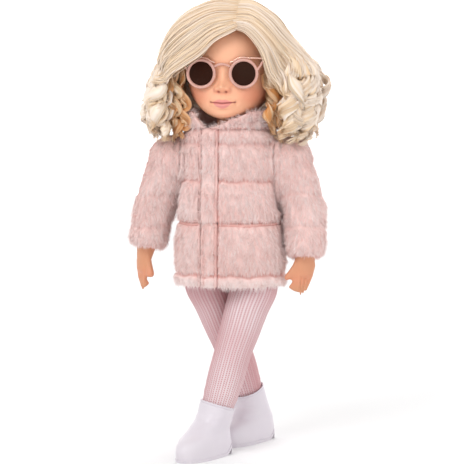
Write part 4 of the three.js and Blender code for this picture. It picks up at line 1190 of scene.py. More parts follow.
@dataclass
class Sunglasses:
    """Round rose sunglasses with a fine brow wire that runs out to a point."""

    y: float = -46.38
    lens_out: float = 21.2
    lens_radius: float = 11.9
    rim_middle: float = 13.3
    rim_thick: float = 1.6
    corner_out: float = 40.5
    corner_up: float = 12.5
    temple_out: float = 45.2
    temple_end: float = 6.62

    def rim(self, side: Side) -> Piece:
        """Round rim of one lens.

        Args:
            side: Side of the doll.

        Returns:
            The rim.
        """
        deselect()
        where = to_row(np.array([side.value * self.lens_out, self.y, UP.eye]))
        bpy.ops.mesh.primitive_torus_add(
            location=where, rotation=(math.pi / 2, 0, 0), major_radius=self.rim_middle / 1000,
            minor_radius=self.rim_thick / 1000, major_segments=96, minor_segments=20)
        rim = active(f"rim_{side.word}")
        settle(rim)
        points = coords(rim)
        out = np.hypot(points[:, 0] - side.value * self.lens_out, points[:, 2] - UP.eye)
        points[:, 1] += 0.35 * smoothstep(self.rim_middle, self.rim_middle - self.rim_thick, out)
        place(rim, points)
        smooth_shade(rim)
        return rim

    def lens(self, side: Side) -> None:
        """Domed dark lens.

        Args:
            side: Side of the doll.
        """
        def shape(u: Array, v: Array) -> Array:
            """Points of the dome, from its middle to its edge.

            Args:
                u: Share across.
                v: Share along.

            Returns:
                Points of the surface.
            """
            turn, r = u * TURN, v * self.lens_radius
            return np.stack([side.value * self.lens_out + r * np.cos(turn), self.y + 0.1 - 1.0 * (1 - v**2),
                             UP.eye + r * np.sin(turn)], 1)

        lens = surface(f"dome_{side.word}", 72, 16, shape)
        if normals(lens)[:, 1].mean() > 0:
            choose(lens)
            bpy.ops.object.mode_set(mode="EDIT")
            bpy.ops.mesh.select_all(action="SELECT")
            bpy.ops.mesh.flip_normals()
            bpy.ops.object.mode_set(mode="OBJECT")
        modify(lens, "SOLIDIFY", thickness=0.0011, offset=-1.0)
        smooth_shade(lens, 50)
        dress(lens, LENS.material())
        fit(lens, "sunglasses", "lens", f"lens_{side.word}")

    def temple(self, side: Side) -> Piece:
        """Side arm from the pointed corner back over the ear, with a bowed end.

        Args:
            side: Side of the doll.

        Returns:
            The side arm.
        """
        s, z = side.value, UP.eye
        return tube(f"temple_{side.word}", [
            (s * self.corner_out, self.y, z + self.corner_up),
            (s * (self.corner_out + 1.6), self.y + 4, z + 11.4),
            (s * (self.temple_out - 1.2), self.y + 16, z + 8.0),
            (s * self.temple_out, self.y + 30, z + 5.4),
            (s * self.temple_out, self.temple_end - 10, z + 5),
            (s * self.temple_out, self.temple_end, z + 4.6),
        ], [1.3, 1.6, 1.7, 1.7, 1.9, 1.7], 12, 8, 0.6)

    def build(self) -> None:
        """Rims, bridge, wings, temples, wires and lenses."""
        parts: list[Piece] = []
        for side in Side:
            s, z = side.value, UP.eye
            low = np.radians(12)
            parts.append(self.rim(side))
            parts.append(self.temple(side))
            out, up = self.rim_middle * math.cos(low), self.rim_middle * math.sin(low)
            parts.append(tube(f"wing_{side.word}", [
                (s * (self.lens_out + out), self.y, z + up),
                (s * 37.6, self.y, z + 7.4), (s * self.corner_out, self.y, z + self.corner_up)], 1.15, 12, 8))
            arc = [(s * (self.lens_out + 15.9 * math.cos(math.radians(d))), self.y,
                    z + 15.9 * math.sin(math.radians(d))) for d in (132, 112, 92, 74)]
            wire = tube(f"wire_{side.word}", [
                (s * 7.0, self.y, z + 10.9), *arc, (s * 34, self.y, z + 15.2),
                (s * (self.corner_out + 0.3), self.y, z + self.corner_up + 2.2)], 0.85, 10, 8)
            dress(wire, WIRE.material())
            fit(wire, "sunglasses", "wire", f"brow_wire_{side.word}")
            self.lens(side)
        parts.append(tube("bridge", [(-8.2, self.y, UP.eye + 6.6), (-4, self.y - 0.4, UP.eye + 8.6),
                                     (0, self.y - 0.6, UP.eye + 9.2), (4, self.y - 0.4, UP.eye + 8.6),
                                     (8.2, self.y, UP.eye + 6.6)], 1.25, 12, 6))
        choose(*parts)
        bpy.ops.object.join()
        glasses = active("glasses_frame")
        dress(glasses, RIM.material())
        fit(glasses, "sunglasses", "frame", "sunglasses_frame")


# Lines of the hair from the parting down, in order from the face to the middle of the back, on the doll's
# right and left and beside the cheeks. Each place gives x, y and the height above the chin.
LEFTWARD = (
    ((15, -44, 93), (3, -48, 86), (-8, -50.5, 79), (-19, -52, 67), (-34, -51, 57), (-48, -46, 48),
     (-57, -39, 37), (-61, -36, 22), (-59, -35, 4), (-54, -31, -20)),
    ((13, -38, 101), (-8, -45, 97), (-24, -48, 87), (-41, -46, 74), (-54, -40, 61), (-62, -33, 46),
     (-69, -29, 30), (-71, -27, 12), (-70, -27, -6), (-65, -27, -25)),
    ((12, -28, 109), (-10, -34, 109), (-33, -38, 98), (-51, -34, 83), (-62, -25, 66), (-66, -16, 48),
     (-74, -10, 30), (-76, -8, 12), (-75, -8, -5), (-71, -9, -22)),
    ((11, -14, 116), (-12, -17, 117), (-38, -18, 105), (-55, -12, 88), (-65, -4, 68), (-69, 4, 48),
     (-77, 9, 30), (-78, 11, 12), (-76, 11, -5), (-71, 10, -22)),
    ((10, 0, 120), (-12, 4, 119), (-38, 10, 106), (-53, 18, 87), (-61, 26, 67), (-65, 33, 48),
     (-70, 36, 30), (-70, 36, 12), (-67, 34, -5), (-61, 32, -22)),
    ((9, 12, 120), (-8, 24, 117), (-28, 36, 106), (-40, 45, 88), (-46, 50, 68), (-48, 53, 48),
     (-50, 54, 30), (-50, 53, 12), (-48, 50, -5), (-44, 46, -20)),
    ((8, 20, 118), (1, 36, 113), (-6, 50, 102), (-12, 58, 85), (-16, 60, 67), (-18, 61, 48),
     (-19, 61, 30), (-19, 60, 12), (-18, 57, -5), (-16, 52, -20)),
    ((7, 24, 117), (6, 38, 112), (3, 52, 102), (1, 60, 85), (0, 62, 67), (0, 63, 48), (0, 63, 30),
     (0, 62, 12), (0, 59, -5), (0, 54, -20)),
)
RIGHTWARD = (
    ((11.5, -44, 93), (24, -47, 88), (34, -47.5, 77), (40, -46.5, 66), (43, -44, 54), (46, -41, 44),
     (53, -39, 33), (59, -37, 20), (60, -36, 4), (55, -31, -20)),
    ((11.5, -38, 101), (27, -43, 98), (40, -43, 87), (50, -40, 74), (58, -36, 60), (66, -32, 46),
     (71, -29, 31), (72, -28, 14), (70, -28, -5), (64, -28, -26)),
    ((10.5, -28, 109), (25, -34, 107), (40, -35, 95), (53, -31, 79), (68, -23, 63), (81, -15, 47),
     (84, -9, 31), (81, -8, 13), (78, -8, -5), (73, -9, -24)),
    ((9.5, -14, 116), (25, -16, 113), (41, -14, 100), (55, -8, 83), (73, 0, 65), (86, 6, 48), (85, 9, 31),
     (81, 11, 12), (79, 11, -5), (74, 10, -24)),
    ((8.5, 0, 120), (23, 4, 117), (40, 12, 103), (53, 20, 85), (66, 27, 66), (74, 33, 48), (75, 36, 30),
     (72, 36, 12), (69, 34, -6), (62, 32, -24)),
    ((7.5, 12, 120), (20, 24, 116), (33, 37, 104), (43, 45, 87), (49, 50, 68), (52, 53, 48), (53, 54, 30),
     (52, 53, 12), (49, 50, -5), (44, 46, -20)),
    ((6.5, 20, 118), (13, 36, 113), (17, 50, 102), (19, 58, 85), (20, 60, 67), (20, 61, 48), (20, 61, 30),
     (19, 60, 12), (18, 57, -5), (16, 52, -20)),
    ((7, 24, 117), (7, 38, 112), (5, 52, 102), (3, 60, 85), (2, 62, 67), (1, 63, 48), (1, 63, 30),
     (1, 62, 12), (1, 59, -5), (1, 54, -20)),
)
CHEEK = (
    ((35, -42, 74), (39, -37, 60), (42, -31, 47), (42.5, -27, 33), (42, -25, 19), (42, -25, 4),
     (45, -25, -18)),
    ((48, -36, 78), (55, -32, 62), (59, -27, 47), (60, -22, 33), (60, -20, 19), (58, -19, 4),
     (55, -18, -20)),
)


@dataclass
class Layer:
    """One layer of curls on one side of the parting.

    Attributes:
        curls: Curls from the face to the middle of the back.
        strands: Strands in each curl.
        lift: Distance outside the hair's plain surface.
        tint: Usual shade, 0 for golden painted shade and 1 for cream.
        coil: Least and greatest radius of the curls.
        gather: How far the strands of a curl draw together.
        broad: Half-width of the smooth ribbons that fill a curl.
        loose_at: Height above the chin where the curls begin.
    """

    curls: int
    strands: int
    lift: float
    tint: float
    coil: tuple[float, float]
    gather: float
    broad: float
    loose_at: float = 74.0


@dataclass
class Hair:
    """Long curled hair, smooth on the crown and in loose ringlets below the brow."""

    crown_share: float = 0.36
    crown_steps: int = 12
    loose_steps: int = 64
    strand_half: float = 0.36
    pitch: tuple[float, float] = (18.5, 27.0)
    columns: int = 24
    lock_thick: float = 0.34
    seed: int = 23
    layers: tuple[Layer, ...] = (
        Layer(14, 88, 2.6, 0.78, (7.0, 10.0), 0.88, 5.6),
        Layer(13, 24, -3.0, 0.78, (6.0, 8.5), 0.7, 6.0),
        Layer(8, 40, 4.0, 0.84, (7.5, 11.0), 0.9, 4.8),
    )
    spans: dict[str, tuple[float, float]] = field(default_factory=lambda: {
        "face": (-1, 1.5), "temple": (1.5, 3), "ear": (3, 4.5), "nape": (4.5, 6), "back": (6, 8)})
    # Curls beside the cheeks, their low usual value making them golden painted shade.
    beside_face: Layer = field(default_factory=lambda: Layer(4, 36, 0.0, 0.24, (4.5, 6.5), 0.7, 4.6, 66.0))

    @property
    def rate(self) -> Array:
        """Places of the steps along a strand, closer together in the curls."""
        return np.concatenate([np.linspace(0, self.crown_share, self.crown_steps + 1)[:-1],
                               np.linspace(self.crown_share, 1, self.loose_steps + 1)])

    def guides(self, masters: Sequence[Sequence[tuple[float, float, float]]]) -> Array:
        """Master lines drawn again with the strands' own steps.

        Args:
            masters: Lines from the parting down, from the face to the back.

        Returns:
            Points by line, step and axis, in the maker's frame.
        """
        lines = []
        for line in masters:
            fine = line_through(np.array(line, float))(np.linspace(0, 1, 300))
            length = np.concatenate([[0], np.cumsum(np.linalg.norm(np.diff(fine, axis=0), axis=1))])
            at = self.rate * length[-1]
            lines.append(np.stack([np.interp(at, length, fine[:, k]) for k in range(3)], 1))
        out = np.array(lines)
        out[:, :, 2] += UP.chin
        return out

    def between(self, lines: Array, spot: Array, stop: float) -> Array:
        """Lines between the master lines, cut short.

        Args:
            lines: Master lines by line, step and axis.
            spot: Place of each line among the master lines.
            stop: Share of the length that is kept.

        Returns:
            Points by line, step and axis.
        """
        i = np.clip(np.floor(spot).astype(int), 0, len(lines) - 2)
        part = (spot - i)[:, None, None]
        whole = lines[i] * (1 - part) + lines[i + 1] * part
        at = np.interp(self.rate * stop, self.rate, np.arange(len(self.rate)))
        low = np.minimum(at.astype(int), len(self.rate) - 2)
        rest = (at - low)[:, None]
        return whole[:, low] * (1 - rest) + whole[:, low + 1] * rest

    def ribbon(self, path: Array, thin: Array, broad: Array, shade: Array, rng: np.random.Generator
               ) -> tuple[Array, Array]:
        """Smooth flat lock of hair along a line.

        Args:
            path: Places along the lock.
            thin: Direction of its thickness at each place.
            broad: Half-width at each place.
            shade: Shade at each place.
            rng: Source of chance for the grooves.

        Returns:
            Points by place, column and axis, and their shades.
        """
        way = np.gradient(path, axis=0)
        way = unit(way, TINY)
        thin = unit(thin - way * np.sum(thin * way, axis=1)[:, None], TINY)
        wide = np.cross(way, thin)
        turn = np.arange(self.columns) * TURN / self.columns
        groove = 1 + 0.15 * np.clip(rng.normal(size=self.columns), -1.5, 1.5)
        across = broad[:, None] * (np.cos(turn) * groove)[None]
        through_it = self.lock_thick * broad[:, None] * (np.sin(turn) * groove)[None]
        points = path[:, None] + wide[:, None] * across[..., None] + thin[:, None] * through_it[..., None]
        # Random streaks, with a painted highlight on the ribbon's outer face.
        streak = 0.2 * rng.normal(size=self.columns) + 0.05 * np.sin(turn)
        return points, np.clip(shade[:, None] + streak[None], 0, 1)

    def strands(self, lines: Array, layer: Layer, seed: int, span: tuple[float, float]
                ) -> tuple[list[Array], list[Array], list[Array], list[Array]]:
        """Strands of one layer whose curls start inside a span of the master lines.

        Args:
            lines: Master lines with the strands' steps.
            layer: Layer to fill.
            seed: Number that picks the curls.
            span: First and last place along the master lines.

        Returns:
            Points of each curl by strand, step, edge and axis with their shades, and the same for its
            ribbons.
        """
        points, shades, bands, tones = [], [], [], []
        last = len(lines) - 1
        cheek = last < 3
        t = self.rate
        spread = through([(0, 1.2), (0.25, 1.5), (0.6, 1.3), (0.85, 1.0), (1, 0.3)])(t)
        for k in range(layer.curls):
            rng = np.random.default_rng((seed, k))
            middle = float(np.clip((k + 0.5) / layer.curls * last + rng.uniform(-0.06, 0.06), 0, last))
            coil, pitch = rng.uniform(*layer.coil), rng.uniform(*self.pitch) * rng.choice([-1.0, 1.0])
            start, stop, depth = rng.uniform(0, TURN), rng.uniform(0.88, 1.0), rng.uniform(0.35, 0.7)
            shade = layer.tint + rng.normal(0, 0.07)
            spot = np.clip(middle + rng.uniform(-0.62, 0.62, layer.strands) * last / layer.curls, 0, last)
            chance = np.clip(rng.normal(size=(layer.strands, 8)), -1.9, 1.9)
            if not span[0] <= middle < span[1]:
                continue
            centre = self.between(lines, np.array([middle]), stop)[0]
            drift = rng.normal(0, 3.0, (2, 3))
            stray = smoothstep(70, 10, centre[:, 2] - UP.chin)[:, None]
            centre = centre + stray * (drift[0] * np.sin(5 * t + start)[:, None] + drift[1])
            guide = self.between(lines, spot, stop)
            up = centre[:, 2] - UP.chin
            first = layer.loose_at - 18 * smoothstep(1.5, 0, middle) * (not cheek) + rng.uniform(-7, 5)
            loose = smoothstep(first, first - 40, up)
            draw = (layer.gather * loose)[None, :, None]
            guide = guide * (1 - draw) + centre[None] * draw
            ahead = unit(np.gradient(centre, axis=0))
            core = UP.chin + 45 + 0.75 * (up - 45)
            out = centre - np.stack([0 * up, 0 * up + HAIR_BACK, core], 1)
            out = unit(out - ahead * np.sum(out * ahead, axis=1)[:, None])
            side = np.cross(ahead, out)
            run = np.concatenate([[0], np.cumsum(np.linalg.norm(np.diff(centre, axis=0), axis=1))])
            gain = np.gradient(run) / (pitch * (1 + 2.4 * (1 - loose)))
            turn = np.cumsum(gain) * TURN + start + 0.9 * np.sin(run / 11 + 2 * start)
            phase = turn[None] + rng.uniform(-1.2, 1.2, (layer.strands, 1))
            size = coil * loose * (1 - 0.25 * t - 0.4 * smoothstep(0.8, 1.0, t))
            size = size * (1 + 0.3 * np.sin(run / 15 + start))
            reach = size[None] + layer.broad * loose[None] * (0.38 + 0.36 * chance[:, 1:2])
            wave = 0.35 * np.sin(t[None] * (9 + 3 * chance[:, 2:3]) + 6 * chance[:, 3:4])
            rise = max(layer.lift, 1.5) * smoothstep(118, 94, up)
            rise = rise + min(layer.lift - 1.5, 0) * smoothstep(84, 62, up)
            a = depth * reach * np.cos(phase) + rise[None] + 1.9 * smoothstep(0, 0.12, t)[None] - 1.0
            tidy = (1 - 0.6 * loose)[None]
            a += (spread[None] * 0.7 * chance[:, 4:5] + wave) * tidy
            b = reach * np.sin(phase) + (spread[None] * chance[:, 5:6] + wave) * tidy
            line = guide + out[None] * a[..., None] + side[None] * b[..., None]
            way = unit(np.gradient(line, axis=1), TINY)
            flat = unit(np.cross(way, out[None]), TINY)
            roll = (0.3 * chance[:, 6])[:, None, None]
            flat = flat * np.cos(roll) + np.cross(flat, way) * np.sin(roll)
            half = self.strand_half * (0.8 + 0.25 * np.abs(chance[:, 2:3])) * smoothstep(1.04, 0.88, t)[None]
            flat = flat * half[..., None]
            points.append(np.stack([line - flat, line + flat], 2))
            # Random per strand, with painted light and shade: the outer side of each curl lighter, the roots
            # at the parting and the smooth crown darker, golden shade by the face and darker ends by the
            # collar.
            glow = shade + 0.12 * chance[:, 7:8] + 0.06 * np.cos(phase) * loose[None]
            glow = glow - 0.12 * smoothstep(0.05, 0.0, t)[None] - 0.16 * (1 - loose)[None] + 0.06
            face_shade = 0.35 * smoothstep(0.9, 0.1, middle) * smoothstep(46, 26, up) * (not cheek)
            shades.append(np.clip(glow - face_shade[None] - 0.10 * smoothstep(20, -12, up)[None], 0, 1))
            rise = rise + 0.9
            sweep = turn + rng.uniform(-0.1, 0.1)
            wide = size + layer.broad * loose * rng.uniform(-0.12, 0.12)
            line = centre + out * (depth * wide * np.cos(sweep) + rise)[:, None]
            line = line + side * (wide * np.sin(sweep))[:, None]
            broad = 1.2 * layer.broad * smoothstep(0.0, 0.75, loose) * smoothstep(1.01, 0.86, t) + 0.02
            thin = out * (1 - loose * depth * (1 - np.cos(sweep)))[:, None]
            thin = thin + side * (depth * np.sin(sweep) * loose)[:, None]
            # Painted light and shade of the ribbon: curls lighter than the crown, the outer side of each loop
            # lighter, golden shade by the face; the rest is random.
            tone = shade + rng.normal(0, 0.05) + 0.08 * loose + 0.05 * np.cos(sweep) * loose - face_shade
            band, streaks = self.ribbon(line, thin, broad, tone, rng)
            bands.append(band)
            tones.append(streaks)
        return points, shades, bands, tones

    def build(self) -> None:
        """Under-hair and ten pieces of strands."""
        for part, shrink in (("crown", 4.4), ("back", 2.0), ("left", 2.0), ("right", 2.0)):
            self.under(f"hair_{part}", shrink)
        corner = np.arange(len(self.rate) - 1)[:, None] * 2
        faces = corner + np.array([0, 1, 3, 2])
        i, j = np.meshgrid(np.arange(len(self.rate) - 1), np.arange(self.columns), indexing="ij")
        nearby = (j + 1) % self.columns
        weave = np.stack([i * self.columns + j, i * self.columns + nearby, (i + 1) * self.columns + nearby,
                          (i + 1) * self.columns + j], 2).reshape(-1, 4)
        for side, masters in ((Side.RIGHT, LEFTWARD), (Side.LEFT, RIGHTWARD)):
            lines = self.guides(masters)
            cheek = self.guides(CHEEK) * [side.value, 1, 1]
            for part, span in self.spans.items():
                points, shades, bands, tones = stores = [], [], [], []
                fills = [(lines, layer, span) for layer in self.layers]
                if part == "face":
                    fills.append((cheek, self.beside_face, (-1, 2)))
                for n, (masters_used, layer, reach) in enumerate(fills):
                    seed = self.seed + 7 * n + 31 * (side is Side.LEFT)
                    got = self.strands(masters_used, layer, seed, reach)
                    for store, more in zip(stores, got):
                        store += more
                every = np.concatenate(points)
                step = len(self.rate) * 2
                quads = (faces[None] + (np.arange(len(every)) * step)[:, None, None]).reshape(-1, 4)
                tint = np.repeat(np.concatenate(shades), 2, axis=1).ravel()
                solid = np.array(bands)
                first = len(tint)
                step = len(self.rate) * self.columns
                woven = (weave[None] + first + (np.arange(len(solid)) * step)[:, None, None]).reshape(-1, 4)
                locks = mesh_of(
                    f"locks_{part}_{side.word}", np.concatenate([every.reshape(-1, 3), solid.reshape(-1, 3)]),
                    np.concatenate([quads, woven]), {"tint": np.concatenate([tint, np.array(tones).ravel()])})
                dress(locks, STRANDS.material())
                fit(locks, "head", "hair")

    def under(self, node: str, shrink: float) -> None:
        """Dense hair under the strands.

        Args:
            node: CAD node of that part of the hair.
            shrink: How far it lies inside the node.
        """
        mass = node_copy(node, f"under_{node}", 2.2, 8)
        points = coords(mass)
        points = points - normals(mass) * shrink
        up = points[:, 2] - UP.chin
        far = np.hypot(points[:, 0], points[:, 1] - HAIR_BACK)
        drawn_in = 1 - 0.10 * smoothstep(84, 52, up) - 0.26 * bump(up, 66, 15)
        near = np.minimum(far, drawn(far, 46, drawn_in))
        points[:, 0] *= near / far
        points[:, 1] = HAIR_BACK + (points[:, 1] - HAIR_BACK) * near / far
        aside = np.abs(points[:, 0])
        inner = (aside < 48) & (points[:, 1] < 12) & (up < 70) & (node in ("hair_left", "hair_right"))
        points[:, 0] = np.where(inner, np.sign(points[:, 0]) * drawn(aside, 48, 0.25), points[:, 0])
        forward = (points[:, 1] < -18) & (up < 74)
        points[:, 1] = np.where(forward, drawn(points[:, 1], -18, 0.3), points[:, 1])
        points[:, 2] = UP.chin + np.where(up < 10, drawn(up, 10, 0.95), up)
        place(mass, points)
        x, y, z = points.T
        turn = np.arctan2(y - HAIR_BACK, x)
        streak = np.sin(turn * 61 + z * 0.05) * 0.5 + np.sin(turn * 143 + z * 0.11) * 0.5
        # Random streaks, with painted shade: golden by the face, darker than the strands over it and most
        # under the crown, and a little lighter higher up.
        by_face = smoothstep(10, -8, y) * smoothstep(70, 50, up) * smoothstep(64, 54, np.abs(x))
        ground = 0.84 - 0.5 * by_face
        ground = ground - (0.24 if node == "hair_crown" else 0.08)
        mark(mass, "tint", np.clip(ground + 0.16 * streak + 0.05 * smoothstep(60, 100, up), 0, 1))
        dress(mass, STRANDS.material())
        fit(mass, "head", "hair", node)


# Large primes that scatter the cells of space over the table of tufts, and the table's length, a power of 2.
CELL_PRIMES = (73856093, 19349663, 83492791)
TUFTS = 65536


@dataclass
class Pile:
    """Long soft pile that lies on padded cloth.

    Attributes:
        thick: Blades for each square millimetre.
        length: Usual length of a blade.
        width: Width at the root.
        lie: How far the pile is brushed downwards.
        tuft: Size of the tufts in which it hangs together.
    """

    thick: float = 2.0
    length: float = 5.6
    width: float = 0.42
    lie: float = 0.85
    tuft: tuple[float, float, float] = (2.4, 2.4, 5.0)

    def cover(self, cloth: Piece, outside: Array, seam: Array, pale: Array, seed: int) -> None:
        """Sets pile on the outside of a piece and joins it to the piece.

        Args:
            cloth: Piece of cloth with its ground material.
            outside: 1 at the points that carry pile.
            seam: 1 in the seams, where the pile is short and darker with painted shade.
            pale: Extra paleness at each point.
            seed: Number that picks the blades.
        """
        rng = np.random.default_rng(seed)
        mesh = cloth.data
        mesh.calc_loop_triangles()
        corners = np.zeros(len(mesh.loop_triangles) * 3, np.int32)
        mesh.loop_triangles.foreach_get("vertices", corners)
        corners = corners.reshape(-1, 3)
        points, facing = coords(cloth), normals(cloth)
        a, b, c = (points[corners[:, k]] for k in range(3))
        area = np.linalg.norm(np.cross(b - a, c - a), axis=1) / 2 * outside[corners].mean(axis=1)
        count = int(area.sum() * self.thick)
        pick = corners[rng.choice(len(area), count, p=area / area.sum())]
        share = rng.dirichlet((1, 1, 1), count)
        blend = lambda values: np.einsum("ij,ij...->i...", share, values[pick])
        root, up, low, light = blend(points), blend(facing), blend(seam), blend(pale)
        cell = np.floor(root / np.array(self.tuft)).astype(np.int64) @ np.array(CELL_PRIMES)
        tuft = np.clip(rng.normal(size=(TUFTS, 4)), -2, 2)[cell & (TUFTS - 1)]
        way = up * 0.5 + np.array([0, 0, -self.lie]) + 0.22 * tuft[:, :3] + rng.normal(0, 0.12, (count, 3))
        way = unit(way)
        way += up * np.maximum(0.28 - np.sum(way * up, axis=1), 0)[:, None]
        length = self.length * rng.uniform(0.55, 1.25, count) * (1 - 0.72 * low)
        length = length * (1 + 0.2 * ripple(root, 8, seed))
        aside = np.cross(way, up + rng.normal(0, 0.35, (count, 3)))
        aside *= (self.width / 2 / np.linalg.norm(aside, axis=1))[:, None]
        foot = root - up * 0.5
        blades = np.stack([foot - aside, foot + aside, foot + way * length[:, None]], 1).reshape(-1, 3)
        # Random and by tuft, paler on the hem band, with painted shade: deeper at the root than at the tip,
        # and deeper in the seams.
        shade = rng.normal(0, 0.06, count) + 0.35 * light + 0.07 * tuft[:, 3]
        tint = np.stack([shade + 0.2, shade + 0.2, shade + 0.75], 1)
        deep = np.stack([low, low, low * 0.75], 1)
        fur = mesh_of("pile", blades, np.arange(count * 3).reshape(-1, 3),
                      {"tint": np.clip(tint, 0, 1).ravel(), "seam": np.clip(deep, 0, 1).ravel()})
        dress(fur, PILE.material())
        # The ground between the blades stays near the roots' colour as painted shade, with the seams' painted
        # shade.
        mark(cloth, "tint", np.clip(0.1 + 0.35 * pale, 0, 1))
        mark(cloth, "seam", np.clip(seam, 0, 1))
        choose(cloth, fur)
        bpy.ops.object.join()


@dataclass(frozen=True)
class Limb:
    """How one arm hangs, for the arm itself and the sleeve on it.

    Attributes:
        side: Side of the doll.
        swing: Degrees that the arm hangs forward.
        elbow: How far out the elbow lies.
        wrist: How far out the wrist lies.
        elbow_drop: Distance of the elbow below the shoulder.
        wrist_drop: Distance of the wrist below the shoulder.
    """

    side: Side
    swing: float
    elbow: float
    wrist: float
    elbow_drop: float = 48.0
    wrist_drop: float = 94.0

    @property
    def tilt(self) -> Array:
        """Matrix that turns the arm's own frame to hang straight."""
        return np.array(Matrix.Rotation(math.radians(self.swing), 3, "X"))

    @property
    def pivot(self) -> Array:
        """Middle of the shoulder joint."""
        return np.array([self.side.value * SHOULDER_OUT, 0, UP.shoulder])

    def axis(self, drop: Array) -> tuple[Array, Array]:
        """Middle of the arm below the shoulder.

        Args:
            drop: Distances below the shoulder.

        Returns:
            x and y of the middle in the arm's own frame.
        """
        high = np.clip(drop / self.elbow_drop, 0, 1)
        low = np.maximum(drop - self.elbow_drop, 0) / (self.wrist_drop - self.elbow_drop)
        return self.side.value * (self.elbow * high + (self.wrist - self.elbow) * low), 2 * high - 6 * low


LIMBS = (Limb(Side.LEFT, 5.0, 17.0, 18.0), Limb(Side.RIGHT, -5.0, 20.0, 29.0))


@dataclass
class Jacket:
    """Quilted fleece jacket: eight padded panels, a stand collar with its lining, and two sleeves."""

    placket_right: float = -24.0
    placket_left: float = -7.0
    collar_high: float = 17.0
    grow: float = 1.0
    pile_room: float = 2.4
    sleeve_seams: tuple[float, float] = (34.0, 66.0)
    pile: Pile = field(default_factory=Pile)
    collar_pile: Pile = field(default_factory=lambda: Pile(2.4, 6.5, 0.42, 0.3))

    @property
    def seams(self) -> tuple[float, ...]:
        """Heights of the level seams."""
        return (UP.hem_band, UP.lower_seam, UP.upper_seam, UP.yoke)

    def panel(self, node: str, seed: int) -> Piece:
        """One padded panel of the body.

        Args:
            node: CAD node of the panel.
            seed: Number that picks its creases.

        Returns:
            The panel with its pile.
        """
        panel = node_copy(node, f"panel_{node}", 1.5, 9, self.grow)
        points, facing = coords(panel), normals(panel)
        radial = unit(points[:, :2])
        outside = smoothstep(-0.25, 0.2, np.sum(facing[:, :2] * radial, axis=1))
        capped = (np.hypot(points[:, 1], points[:, 2] - UP.shoulder) < 27) & (np.abs(points[:, 0]) > 40)
        hairy = np.where(capped, 1.0, outside)
        outside *= np.where(capped, 0.0, 1.0)
        turn = np.arctan2(points[:, 1], points[:, 0])
        wander = 0.9 * np.sin(turn * 9 + seed) + 0.6 * np.sin(turn * 23 + 2 * seed)
        groove = np.zeros(len(points))
        pucker = np.zeros(len(points))
        for k, z in enumerate(self.seams):
            level = z + wander * (0.0 if k == 1 else 0.8)
            deep = 0.5 if k == 3 else 1.0
            groove = np.maximum(groove, deep * bump(points[:, 2], level, 1.5))
            pucker += deep * np.exp(-np.abs(points[:, 2] - level) / 5.0)
        if node.endswith("placket"):
            groove *= bump(points[:, 2], UP.hem_band, 6)
            pucker *= 0.4
        push = -self.pile_room - 1.9 * groove + 0.75 * ripple(points * [1, 1, 0.55], 30, seed)
        push += 0.75 * pucker * np.sin(turn * 41 + 2.0 * np.sin(turn * 7 + seed)) * (1 - groove)
        push += 0.5 * ripple(points * [1, 1, 0.4], 11, seed + 5)
        near = np.maximum(bump(points[:, 0], self.placket_left, 1.2),
                          0.3 * bump(points[:, 0], self.placket_right, 1.0))
        near *= points[:, 1] < -20
        fold = bump(points[:, 0], -20.5, 0.9) * (points[:, 1] < -20) * smoothstep(236, 226, points[:, 2])
        push -= 0.9 * near + (1.4 * fold if node == "skirt_placket" else 0)
        place(panel, points + facing * (push * outside)[:, None])
        # Painted shade in the seam grooves, along the placket's edges and in the slit's fold.
        seam = np.clip(groove * 0.9 + near * 0.6 + (fold * 0.7 if node == "skirt_placket" else 0), 0, 1)
        pale = 0.8 * smoothstep(UP.hem_band + 2, UP.hem_band - 4, points[:, 2])
        pale += 0.3 * ripple(points, 60, seed + 9)
        dress(panel, FLEECE.material())
        self.pile.cover(panel, hairy, seam, pale, seed)
        return panel

    def body(self) -> None:
        """The eight panels; the skirt ones over the legs get meshes of their own."""
        for seed, part in enumerate(("back", "front_left", "front_right", "placket")):
            node = f"jacket_{part}"
            fit(self.panel(node, 3 + seed), "torso", "fleece", node)
        for seed, (node, joint, keep) in enumerate((
                ("skirt_back", "hip_swing_right", 0.86), ("skirt_front_left", "hip_swing_left", 0.45),
                ("skirt_front_right", "", 1.0), ("skirt_placket", "hip_swing_left", 0.45))):
            panel = self.panel(node, 13 + seed)
            fit(panel, "torso", "fleece", node)
            if joint:
                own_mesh(panel)

    def collar(self) -> None:
        """Stand collar with a notch at the front, and the striped lining inside it."""
        collar = node_copy("collar", "stand_collar", 1.2, 7, self.grow)
        points, facing = coords(collar), normals(collar)
        radial = unit(points[:, :2])
        outward = np.sum(facing[:, :2] * radial, axis=1)
        outside = smoothstep(-0.6, -0.2, outward + 0.5 * facing[:, 2])
        middle = bump(points[:, 2], UP.jacket_top + 8, 7)
        push = -1.2 + 1.3 * middle * smoothstep(0, 0.6, outward) + 0.5 * ripple(points, 16, 5)
        place(collar, points + facing * (push * outside)[:, None])
        # Painted shade along the seam at the foot of the collar.
        seam = bump(points[:, 2], UP.jacket_top - 0.2, 1.4) * smoothstep(0, 0.5, outward)
        dress(collar, FLEECE.material())
        self.collar_pile.cover(collar, outside, seam, 0.25 * np.ones(len(points)), 29)
        fit(collar, "torso", "fleece", "collar")
        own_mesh(collar)
        lining = surface("collar_stripe", 220, 14, self.lining)
        modify(lining, "SOLIDIFY", thickness=0.0005, offset=0.0)
        dress(lining, LINING.material())
        fit(lining, "torso", "lining", "collar_lining")
        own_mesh(lining)

